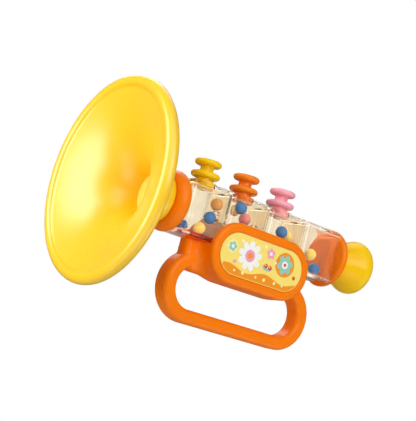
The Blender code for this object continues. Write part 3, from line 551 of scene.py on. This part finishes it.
def make_cap():
    thick, radius, flat_r, socket_r, edge = 4.5, 12.2, 7.4, 6.2, 1.2
    start = CAP_HI[0] - thick
    profile = [(0.0, AIR_WAY_R), (0.0, 6.0)] + arc(edge, radius - edge, edge, 180, 95, 8)
    for step in range(0, 19):
        angle = pi / 2 * step / 18
        profile.append((edge + 3.3 * sin(angle), flat_r + (radius - flat_r) * cos(angle)))
    profile += [(thick, socket_r), (1.0, socket_r), (1.0, AIR_WAY_R)]
    bm = lathe(profile, 96, offset=(start, 0.0, AXIS_Z))
    finish_piece("cap_disc", bm, MAT["orange"], replaced=["end_cap"], slot="orange_plastic", sharp=60.0)
    # the plug that closes the last chamber: place along the horn, inset and corner of each ring
    depth, height, gap = 13.8, 18.4, 0.05
    steps = ((-2.4, 2.6, 3.2), (-2.35, 1.9, 3.4), (-2.0, 1.3, 3.2), (-1.4, 0.75, 2.6), (-0.7, 0.3, 1.6),
             (0.0, 0.0, 1.1))
    bm = bmesh.new()
    rings = []
    for place, inset, corner in steps:
        outline = rounded_outline(depth - 2 * inset, height - 2 * inset, corner, 8)
        rings.append([bm.verts.new((start + place - gap, a, AXIS_Z + b)) for a, b in outline])
    bridge(bm, rings)
    finish_piece("cap_plug", bm, MAT["plug"], slot="orange_plastic", sharp=50.0)


def make_mouthpiece():
    length, neck, widest, round_edge, bore, spigot = 16.45, 6.6, 11.4, 4.4, 3.3, 4.6
    start = MOUTH_HI[0] - length
    rim = (length - round_edge, widest - round_edge)
    profile = [(0.0, 6.0), (0.0, neck - 0.12), (0.12, neck)]
    for step in range(1, 18):
        share = step / 18
        profile.append((rim[0] * share, neck + (widest - neck) * share * share * (3 - 2 * share)))
    profile += arc(*rim, round_edge, 90, -38, 30)
    last = profile[-1]
    for step in range(1, 7):
        share = step / 7
        profile.append((last[0] - 5.0 * share, bore + (last[1] - bore) * (1 - share) ** 2))
    profile += [(6.1, bore), (6.1, spigot), (0.0, spigot)]
    bm = lathe(profile, 96, offset=(start, 0.0, AXIS_Z))
    finish_piece("mouthpiece_cup", bm, MAT["mouth"], replaced=["mouthpiece"], slot="yellow_plastic",
                 sharp=60.0)


# ---------------------------------------------------------------- housing

GRIP_X = (FRONT_LO[0] + FRONT_HI[0]) / 2
HANDLE_Z = FRONT_LO[2] + 14.1
SADDLE_Z = AXIS_Z - 11.1
# half sizes, corner and edge radii, in millimetres from the grip's middle and the saddle's floor
LOOP_X, LOOP_Z, BAR_XZ, BAR_Y, BAR_EDGE = 34.1, 11.3, 2.8, 4.2, 1.9
SADDLE_X, SADDLE_HALF_X, SADDLE_HALF_Y = (33.15 - 25.55) / 2 - 5.8, 29.35, 3.4
SADDLE_DOWN, SADDLE_TALL, SADDLE_CORNER, SADDLE_EDGE = 12.1, 24.0, 6.5, 2.2
PANEL_X, PANEL_Z, PANEL_Y, PANEL_EDGE, PANEL_DOWN = 24.85, 12.1, 11.5, 1.5, 1.0
REAR_INSET, REAR_LIFT = 0.9, 1.3
POCKET_Y = 8.8
RECESS_X, RECESS_Z, RECESS_Y = 21.25, 8.5, 10.6
WELL_R, SCREW_HEAD = 1.75, 1.3
# radii of the fillets where two of these shapes meet, or one is taken out
HANDLE_FILLET, PANEL_FILLET, POCKET_FILLET, RECESS_FILLET, WELL_FILLET = 0.7, 3.0, 0.5, 0.7, 0.25


def stadium(x, z, half_length, half_height):
    run = half_length - half_height
    return np.hypot(np.maximum(np.abs(x) - run, 0.0), z) - half_height


def rounded_corner(a, b):
    """Distance to the corner where two flat sides meet, from the distances to both."""
    return np.hypot(np.maximum(a, 0), np.maximum(b, 0)) + np.minimum(np.maximum(a, b), 0)


def round_rect(x, z, half_x, half_z, corner):
    return rounded_corner(np.abs(x) - (half_x - corner), np.abs(z) - (half_z - corner)) - corner


def plate(across, depth, edge):
    """Distance to a plate from the distance to its outline, with rounded edges."""
    return rounded_corner(across + edge, depth + edge) - edge


def blend_union(a, b, k):
    h = np.clip(0.5 + 0.5 * (b - a) / k, 0, 1)
    return b * (1 - h) + a * h - k * h * (1 - h)


def blend_cut(a, b, k):
    """a with b taken out, the edge rounded by k."""
    return -blend_union(-a, b, k)


def housing_distance(side, screws):
    """Distance to the whole housing: side -1 has the label's recess, and 1 the screws' wells."""
    inset, lift = (REAR_INSET, REAR_LIFT) if side > 0 else (0.0, 0.0)

    def distance(p):
        x, y, z = p[:, 0] - GRIP_X, p[:, 1], p[:, 2]
        loop = stadium(x, z - HANDLE_Z, LOOP_X, LOOP_Z)
        handle = plate(np.abs(loop) - BAR_XZ, np.abs(y) - BAR_Y, BAR_EDGE)
        middle = SADDLE_Z - SADDLE_DOWN + SADDLE_TALL / 2
        saddle = round_rect(x - SADDLE_X, z - middle, SADDLE_HALF_X, SADDLE_TALL / 2, SADDLE_CORNER)
        saddle = plate(saddle, np.abs(y) - SADDLE_HALF_Y, SADDLE_EDGE)
        oval = stadium(x, z - (SADDLE_Z - PANEL_DOWN + lift), PANEL_X - inset, PANEL_Z - inset)
        panel = plate(oval, np.abs(y) - PANEL_Y, PANEL_EDGE)
        shape = blend_union(handle, saddle, HANDLE_FILLET)
        shape = blend_union(shape, panel, PANEL_FILLET)
        # the blend must not swell past the panel's own face
        shape = np.maximum(shape, np.abs(y) - PANEL_Y)
        pocket = np.maximum(np.abs(y) - POCKET_Y, SADDLE_Z - z)
        shape = blend_cut(shape, pocket, POCKET_FILLET)
        if side < 0:
            label = stadium(x, z - (SADDLE_Z - PANEL_DOWN), RECESS_X, RECESS_Z)
            return blend_cut(shape, np.maximum(label, y + RECESS_Y), RECESS_FILLET)
        for screw_x, screw_z, seat in screws:
            well = np.maximum(np.hypot(p[:, 0] - screw_x, z - screw_z) - WELL_R, seat - y)
            shape = blend_cut(shape, well, WELL_FILLET)
        return shape

    return distance


def make_housing():
    screws = []
    for index in range(4):
        low, high = node_box(f"housing_screw_{index + 1}")
        screws.append(((low[0] + high[0]) / 2, (low[2] + high[2]) / 2, high[1] - SCREW_HEAD))
    cell = 0.55
    margin = 1.3 * cell
    for side, name, node, low, high in (
        (-1, "housing_front", "front_housing", FRONT_LO, FRONT_HI),
        (1, "housing_rear", "rear_housing", REAR_LO, REAR_HI),
    ):
        low, high = low - margin, high + margin
        # the grid runs past the middle plane, where the two shells meet
        low[1] = min(low[1], -3.0)
        high[1] = max(high[1], 3.0)
        net_piece(name, housing_distance(side, screws), low, high, cell, MAT["orange"],
                  half=(side, side * 0.05), replaced=[node], slot="orange_plastic", sharp=50.0)


# ---------------------------------------------------------------- chambers


def cup_block(left, right, inset, corner, segments):
    """A rounded box between two places along the horn, inset from the chambers' outside."""
    low = Vector((left, -CUP_HALF_Y + inset, AXIS_Z - CUP_HALF_Z + inset))
    high = Vector((right, CUP_HALF_Y - inset, AXIS_Z + CUP_HALF_Z - inset))
    bm = bmesh.new()
    bmesh.ops.create_cube(bm, size=1.0)
    bmesh.ops.scale(bm, vec=high - low, verts=bm.verts)
    bmesh.ops.translate(bm, vec=(high + low) / 2, verts=bm.verts)
    bmesh.ops.bevel(bm, geom=bm.edges[:], offset=corner, segments=segments, profile=0.5, affect="EDGES")
    return bm


def make_chamber(index):
    """A clear cup with thick walls, open at its +X end like the CAD cup."""
    corner, inner_corner = 1.3, 0.9
    ledge_long, ledge_inset, bush_r = 1.55, 0.7, 4.5
    spigot_r = 5.0 if index == 0 else 2.6
    name = f"chamber_{index + 1}"
    low, high = node_box(name)
    start, end = high[0] - CUP_LONG, high[0]
    cup = finish_piece(f"clear_cup_{index + 1}", cup_block(start, end, 0.0, corner, 5),
                       MAT["clear" if index < 3 else "clear_end"], replaced=[name],
                       slot="clear_plastic", sharp=0)
    cut_with(cup, cup_block(start + CUP_WALL, end + 6.0, CUP_WALL, inner_corner, 4))
    if index < 3:
        # the ledge for the divider plate, and the hole for the button's bush
        cut_with(cup, cup_block(end - ledge_long, end + 4.0, ledge_inset, inner_corner, 3))
        roof, middle = AXIS_Z + CUP_HALF_Z, (start + end) / 2
        cut_with(cup, rod(roof - 3.0, roof + 1.0, bush_r, upright=True, offset=(middle, 0.0, 0.0)))
    # the spigot towards the bell, and the air way through it
    tip, root = low[0], start + 0.4
    profile = [(tip, AIR_WAY_R), (tip, spigot_r - 0.2), (tip + 0.2, spigot_r), (root, spigot_r)]
    cut_with(cup, lathe(profile + [(root, AIR_WAY_R)], 40, offset=(0, 0, AXIS_Z)), "UNION")
    cut_with(cup, rod(start - 0.5, start + CUP_WALL + 1.0, AIR_WAY_R, offset=(0, 0, AXIS_Z)))
    smooth(cup.data, 40)
    modifier = cup.modifiers.new("face_weight", "WEIGHTED_NORMAL")
    modifier.keep_sharp = True


# ---------------------------------------------------------------- buttons and springs


def disc(bottom, radius, thickness):
    reach = thickness / 2
    return arc(bottom + reach, radius - reach, reach, 180, 0, 14)


def make_buttons():
    thick, neck_high, neck_r, fillet = 2.35, 2.5, 2.65, 0.7
    stem_r, hub_r, hub_bore = 0.9, 3.5, 2.9
    for colour, key in (("yellow", "yellow"), ("orange", "orange_button"), ("pink", "pink")):
        low, high = node_box(f"{colour}_button")
        x, bottom, top = (low[0] + high[0]) / 2, low[2], high[2]
        upper = top - thick
        lower_top = upper - neck_high
        lower = lower_top - thick
        hub = AXIS_Z + CUP_HALF_Z + 0.1
        profile = [(bottom, 0.0), (bottom, 0.7), (bottom + 0.2, stem_r), (lower_top - 1.0, stem_r)]
        profile += [(lower_top - 1.0, hub_bore), (hub, hub_bore), (hub, hub_r), (lower - 0.25, hub_r)]
        profile += [(lower, 3.9)] + disc(lower, 5.8, thick)
        profile += arc(lower_top + fillet, neck_r + fillet, fillet, 180, 270, 6)
        profile += arc(upper - fillet, neck_r + fillet, fillet, 270, 360, 6)
        profile += disc(upper, 5.35, thick)
        # the top is very slightly dished
        profile += [(top, 2.2), (top - 0.06, 1.6), (top - 0.10, 0.8), (top - 0.11, 0.0)]
        bm = lathe(profile, 64, True, (x, 0.0, 0.0))
        finish_piece(f"push_{colour}", bm, MAT[key], body=f"{colour}_valve",
                     replaced=[f"{colour}_button"], slot=f"{colour}_plastic", sharp=50.0)

        low, high = node_box(f"{colour}_bush")
        foot, rim = low[2], high[2]
        profile = [(foot, 1.1), (foot, 4.1), (foot + 0.2, 4.3), (rim - 0.8, 4.3), (rim - 0.8, 4.85)]
        profile += [(rim - 0.65, 5.0), (rim - 0.2, 5.0), (rim - 0.05, 4.85), (rim, 4.6), (rim, 3.9)]
        profile += [(rim - 0.2, 3.7), (foot + 0.5, 3.7), (foot + 0.5, 1.1)]
        bm = lathe(profile, 64, True, (x, 0.0, 0.0))
        finish_piece(f"guide_{colour}", bm, MAT[key], replaced=[f"{colour}_bush"],
                     slot=f"{colour}_plastic", sharp=40.0)


def make_springs():
    """Plated wire wound round each button's stem."""
    travel, wire, turns, turn_steps, wire_sides = 1.2, 0.2, 4, 28, 10
    for colour in ("yellow", "orange", "pink"):
        low, high = node_box(f"{colour}_spring")
        centre = Vector(((low[0] + high[0]) / 2, 0.0, 0.0))
        coil = (high[0] - low[0]) / 2 - wire
        bottom, top = low[2] + wire, high[2] - wire
        climb = (top - bottom) / (2 * pi * turns * coil)
        bm = bmesh.new()
        rings = []
        for step in range(turns * turn_steps + 1):
            share = step / (turns * turn_steps)
            angle = 2 * pi * turns * share
            out = Vector((cos(angle), sin(angle), 0.0))
            along = Vector((-sin(angle), cos(angle), climb)).normalized()
            across = along.cross(out)
            middle = centre + out * coil + Vector((0.0, 0.0, bottom + (top - bottom) * share))
            turn = [2 * pi * side / wire_sides for side in range(wire_sides)]
            rings.append([bm.verts.new(middle + (out * cos(t) + across * sin(t)) * wire) for t in turn])
        bridge(bm, rings)
        coiled = finish_piece(f"coil_{colour}", bm, MAT["steel"], replaced=[f"{colour}_spring"],
                              slot="steel", sharp=60.0)
        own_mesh(coiled)


# ---------------------------------------------------------------- balls


def make_balls():
    radius, seam, gate, rings = 2.45, 0.035, 0.06, 24
    # a round profile with a faint line where the mould closed, and the flat of the trimmed gate
    profile = []
    for ring in range(rings + 1):
        angle = pi * ring / rings
        reach = radius - seam if 2 * ring == rings else radius
        along = radius - gate if cos(angle) > 0.985 else reach * cos(angle)
        profile.append((along, reach * sin(angle)))
    for name in sorted(NODES):
        if "_ball_" not in name:
            continue
        colour = name.split("_")[0]
        low, high = node_box(name)
        bm = lathe(profile, 40, True, phase=0.0)
        turn = sum(ord(c) for c in name) % 7
        tilt = Matrix.Rotation(0.4 * turn + 0.3, 3, "X") @ Matrix.Rotation(0.7 * turn, 3, "Y")
        bmesh.ops.rotate(bm, verts=bm.verts, cent=(0, 0, 0), matrix=tilt)
        finish_piece(f"bead_{name}", bm, MAT[f"ball_{colour}"], body=f"{name}_body", replaced=[name],
                     slot=f"{colour}_plastic", sharp=0, location=(low + high) / 2)


# ---------------------------------------------------------------- label art


def flat_shape(name, outline, y, thickness, material, replaced=()):
    """A thin printed layer: a flat outline in X and Z, extruded a hair towards the viewer."""
    bm = bmesh.new()
    front = [bm.verts.new((x, y - thickness, z)) for x, z in outline]
    back = [bm.verts.new((x, y, z)) for x, z in outline]
    bm.faces.new(front)
    bm.faces.new(back)
    for step in range(len(outline)):
        after = (step + 1) % len(outline)
        bm.faces.new((front[step], front[after], back[after], back[step]))
    finish_piece(name, bm, material, replaced=replaced, slot="printed_label", sharp=30.0)


def circle(cx, cz, radius, count=40):
    angles = [2 * pi * n / count for n in range(count)]
    return [(cx + radius * cos(angle), cz + radius * sin(angle)) for angle in angles]


def blossom(cx, cz, radius, petals, depth, turn):
    """Outline of a flower with joined round petals; depth is how far the notches cut in."""
    count = petals * 14
    points = []
    for step in range(count):
        angle = 2 * pi * step / count
        reach = radius * (1 - depth * (1 - abs(cos(petals * angle / 2)) ** 0.62))
        points.append((cx + reach * cos(angle + turn), cz + reach * sin(angle + turn)))
    return points


def leaf(cx, cz, reach, width, turn):
    count = 24
    points = []
    for step in range(count):
        wave = sin(2 * pi * step / count)
        along = reach * (0.5 - 0.5 * cos(2 * pi * step / count))
        across = width / 2 * wave * abs(wave) ** 0.25
        x = cx + along * cos(turn) - across * sin(turn)
        z = cz + along * sin(turn) + across * cos(turn)
        points.append((x, z))
    return points


def make_print():
    """The label: a sheet with a hill, flowers, leaves and berries, printed in four layers of ink."""
    cx, cz = (LABEL_LO[0] + LABEL_HI[0]) / 2, (LABEL_LO[2] + LABEL_HI[2]) / 2
    length, height = LABEL_HI[0] - LABEL_LO[0], LABEL_HI[2] - LABEL_LO[2]
    back, front = LABEL_HI[1], LABEL_LO[1]
    ink_thick, layer_gap, border = 0.012, 0.016, 0.25
    ink = {
        "ground": printed("print_ground", (0.97, 0.76, 0.17)),
        "cream": printed("print_cream", (0.98, 0.85, 0.36)),
        "orange": printed("print_orange", (0.90, 0.30, 0.004)),
        "mint": printed("print_mint", (0.28, 0.60, 0.50)),
        "white": printed("print_white", (0.93, 0.92, 0.90)),
        "pink": printed("print_pink", (0.86, 0.35, 0.50)),
        "red": printed("print_red", (0.72, 0.08, 0.03)),
    }
    outline = [(cx + a, cz + b) for a, b in rounded_outline(length, height, height / 2, 16)]
    flat_shape("print_sheet", outline, back, back - front, ink["ground"], replaced=["front_label"])
    half_length, half_height = length / 2 - border, height / 2 - border
    run = half_length - half_height
    level, count = front - 0.015, 0

    def ink_shape(points, colour):
        nonlocal count
        count += 1
        flat_shape(f"print_{count:02d}_{colour}", points, level, ink_thick, ink[colour])

    def dot(x, z, radius, colour):
        ink_shape(circle(cx + x, cz + z, radius), colour)

    def flower(x, z, radius, petals, depth, turn, colour):
        ink_shape(blossom(cx + x, cz + z, radius, petals, depth, turn), colour)

    def edge(x):
        """Half the height of the printed field at x."""
        over = max(abs(x) - run, 0.0)
        return sqrt(max(half_height * half_height - over * over, 0.0))

    # a rolling hill along the label's lower edge, and two round grounds
    ridge, foot = [], []
    for step in range(61):
        x = -half_length + 2 * half_length * step / 60
        rise = -5.1 + sin(0.33 * x + 0.6)
        if rise > -edge(x) + 0.02:
            ridge.append((cx + x, cz + rise))
            foot.append((cx + x, cz - edge(x)))
    ink_shape(ridge + foot[::-1], "orange")
    dot(11.6, 2.0, 4.9, "orange")
    dot(-15.9, 2.4, 2.6, "cream")
    # petals, leaves and dots
    level -= layer_gap
    flower(-6.6, 0.9, 6.0, 9, 0.42, 0.2, "white")
    flower(11.6, 2.0, 4.1, 6, 0.45, 0.3, "mint")
    flower(3.4, 4.4, 2.2, 5, 0.42, 0.5, "pink")
    flower(-15.9, 2.4, 2.0, 5, 0.42, 0.1, "mint")
    for turn in (0.5, 2.6):
        ink_shape(leaf(cx + 3.1, cz - 2.4, 3.0, 1.5, turn), "mint")
    dot(-13.4, -2.9, 0.75, "pink")
    dot(17.6, -1.9, 0.8, "red")
    dot(-11.6, 5.6, 0.55, "white")
    dot(0.2, 6.4, 0.5, "white")
    dot(6.8, 1.6, 0.5, "white")
    for place, size in ((-12.5, 0.5), (-8.2, 0.7), (-1.5, 0.55), (2.9, 0.7), (8.4, 0.6), (12.6, 0.5)):
        dot(place, -6.3, size, "cream")
    # the flowers' middles and the berries
    level -= layer_gap
    dot(-6.6, 0.9, 2.4, "pink")
    dot(11.6, 2.0, 1.5, "white")
    dot(3.4, 4.4, 0.75, "white")
    dot(-15.9, 2.4, 0.7, "white")
    dot(2.3, -0.8, 0.95, "red")
    dot(4.5, -1.1, 0.95, "red")
    # the berries' lights and the inmost marks
    level -= layer_gap
    dot(2.0, -0.5, 0.25, "white")
    dot(4.2, -0.8, 0.25, "white")
    flower(-6.6, 0.9, 1.3, 5, 0.3, 0.3, "orange")
    dot(11.6, 2.0, 0.7, "red")


# ---------------------------------------------------------------- screws and small parts


def make_screws():
    head_high, pitch, core_r, thread_r, tip_long = 1.1, 0.45, 0.70, 0.9, 1.0
    for index in range(4):
        low, high = node_box(f"housing_screw_{index + 1}")
        x, z = (low[0] + high[0]) / 2, (low[2] + high[2]) / 2
        tip, top = low[1], high[1]
        seat = top - head_high
        profile = [(tip, 0.0), (tip + 0.9, 0.75)]
        for step in range(int((seat - tip - tip_long) / pitch)):
            at = tip + tip_long + step * pitch
            profile += [(at, core_r), (at + 0.2, thread_r)]
        profile += [(seat - 0.05, 0.8), (seat, 1.45), (seat + 0.1, 1.55), (seat + 0.45, 1.55)]
        profile += [(seat + 0.8, 1.35), (top - 0.08, 0.95), (top, 0.6), (top, 0.0)]
        bm = lathe(profile, 32)
        # the lathe runs along X, and the screw along Y
        bmesh.ops.rotate(bm, verts=bm.verts, cent=(0, 0, 0), matrix=Matrix.Rotation(pi / 2, 3, "Z"))
        screw = finish_piece(f"screw_{index + 1}", bm, MAT["steel"],
                             replaced=[f"housing_screw_{index + 1}"],
                             slot="steel", sharp=35.0, location=(x, 0.0, z))
        turn = 0.35 + 0.8 * index
        for blade in (0, 1):
            cross = bmesh.new()
            tilt = Matrix.Rotation(turn + blade * pi / 2, 3, "Y")
            bmesh.ops.create_cube(cross, size=1.0)
            bmesh.ops.scale(cross, vec=(1.7, 1.4, 0.34), verts=cross.verts)
            bmesh.ops.rotate(cross, verts=cross.verts, cent=(0, 0, 0), matrix=tilt)
            bmesh.ops.translate(cross, vec=(x, top + 0.15, z), verts=cross.verts)
            cut_with(screw, cross)
        smooth(screw.data, 35)


def dress_cad_nodes():
    """The hidden CAD nodes that stay get the right procedural material."""
    kept = {"reed_holder": "white", "reed_tongue": "steel"}
    kept.update({f"divider_{number}": "clear" for number in (1, 2, 3)})
    kept.update({f"{colour}_clip": "white" for colour in ("yellow", "orange", "pink")})
    for name, key in kept.items():
        node = NODES[name]
        node.data.materials.clear()
        node.data.materials.append(MAT[key])


make_bell()
make_collar()
make_cap()
make_mouthpiece()
make_housing()
for chamber in range(4):
    make_chamber(chamber)
make_buttons()
make_springs()
make_balls()
make_print()
make_screws()
dress_cad_nodes()


# ---------------------------------------------------------------- stage, camera and light


def make_camera():
    """Perspective camera fitted to the photo's outlines; gives its right, up and back directions."""
    azimuth, elevation, roll = radians(-35.803), radians(-7.905), radians(14.711)
    focal_px, photo_px, sensor, distance = 1138.003, 416.0, 36.0, 442.254
    target = Vector((47.111 - 64.85, 0.0, 1.747 + AXIS_Z)) * MM
    back = Vector((sin(azimuth) * cos(elevation), -cos(azimuth) * cos(elevation), sin(elevation)))
    level_right = Vector((cos(azimuth), sin(azimuth), 0.0))
    level_up = back.cross(level_right)
    right = cos(roll) * level_right + sin(roll) * level_up
    up = -sin(roll) * level_right + cos(roll) * level_up
    data = bpy.data.cameras.new("photo_camera")
    data.sensor_fit = "HORIZONTAL"
    data.sensor_width = sensor
    data.lens = focal_px * sensor / photo_px
    data.clip_start = 0.01
    data.clip_end = 20.0
    camera = link(bpy.data.objects.new("photo_camera", data))
    basis = Matrix((right, up, back)).transposed().to_4x4()
    camera.matrix_world = Matrix.Translation(target + back * distance * MM) @ basis
    bpy.context.scene.camera = camera
    return right, up, back


def area_light(name, place, aim, width, height, power):
    data = bpy.data.lights.new(name, "AREA")
    data.shape = "RECTANGLE"
    data.size, data.size_y = width, height
    data.energy = power
    lamp = link(bpy.data.objects.new(name, data))
    lamp.location = place
    lamp.rotation_euler = (aim - place).to_track_quat("-Z", "Y").to_euler()


def seen_straight(tree):
    """1 for rays from the camera, also through clear walls, and 0 for light that bounces."""
    path = tree.nodes.new("ShaderNodeLightPath")
    return combine(tree, "MAXIMUM", path.outputs["Is Camera Ray"], path.outputs["Is Transmission Ray"])


def make_world(ambient):
    """White to the camera, and a soft even light for the rest."""
    world = bpy.data.worlds.new("studio")
    bpy.context.scene.world = world
    world.use_nodes = True
    tree = world.node_tree
    tree.nodes.clear()
    output = tree.nodes.new("ShaderNodeOutputWorld")
    seen = tree.nodes.new("ShaderNodeBackground")
    seen.inputs["Color"].default_value = (1, 1, 1, 1)
    seen.inputs["Strength"].default_value = 1.0
    lit = tree.nodes.new("ShaderNodeBackground")
    lit.inputs["Color"].default_value = (1.0, 0.985, 0.96, 1)
    lit.inputs["Strength"].default_value = ambient
    mix_shaders(tree, seen_straight(tree), lit.outputs[0], seen.outputs[0], output.inputs["Surface"])


def make_floor():
    """Plain pale floor well below the horn, evenly white to the camera."""
    bm = bmesh.new()
    bmesh.ops.create_grid(bm, x_segments=2, y_segments=2, size=4.0)
    mesh = bpy.data.meshes.new("floor")
    bm.to_mesh(mesh)
    bm.free()
    floor = link(bpy.data.objects.new("floor", mesh))
    floor.location = (0.0, 0.0, -0.50)
    made, tree, shader = new_material("floor_white")
    shader.inputs["Base Color"].default_value = (0.60, 0.59, 0.58, 1)
    shader.inputs["Roughness"].default_value = 0.8
    glow = tree.nodes.new("ShaderNodeEmission")
    glow.inputs["Color"].default_value = (1, 1, 1, 1)
    glow.inputs["Strength"].default_value = 1.0
    mix_shaders(tree, seen_straight(tree), shader.outputs[0], glow.outputs[0],
                tree.nodes["Material Output"].inputs["Surface"])
    mesh.materials.append(made)


make_floor()
RIGHT, UP, BACK = make_camera()
AMBIENT = 0.22
make_world(AMBIENT)
# the lamps stand round the middle of the horn, in metres
CENTRE = Vector((-0.01, 0.0, 0.045))
LAMP_REACH = 0.6
# soft lamps around the camera's view: name, way to the lamp (right, up, back), width, height, power
LAMPS = (
    ("key", (-0.80, 0.43, 0.38), 0.36, 0.60, 3.5),
    ("under_left", (-0.50, -0.78, 0.40), 0.65, 0.65, 0.7),
    ("front_low", (0.00, -0.55, 0.83), 0.50, 0.50, 0.8),
    ("front_high", (0.35, 0.66, 0.66), 0.72, 0.72, 2.0),
    ("right", (0.70, 0.28, 0.66), 0.36, 0.36, 1.1),
    ("under_right", (0.70, -0.70, 0.15), 0.40, 0.40, 0.7),
    ("rim", (0.20, 0.78, -0.60), 0.40, 0.40, 0.5),
    ("back", (-0.15, 0.66, -0.74), 0.30, 0.30, 0.7),
)
for name, (side, rise, depth), width, height, power in LAMPS:
    way = (RIGHT * side + UP * rise + BACK * depth).normalized()
    area_light(name, CENTRE + way * LAMP_REACH, CENTRE, width, height, power)

bpy.context.scene.view_settings.view_transform = "Standard"
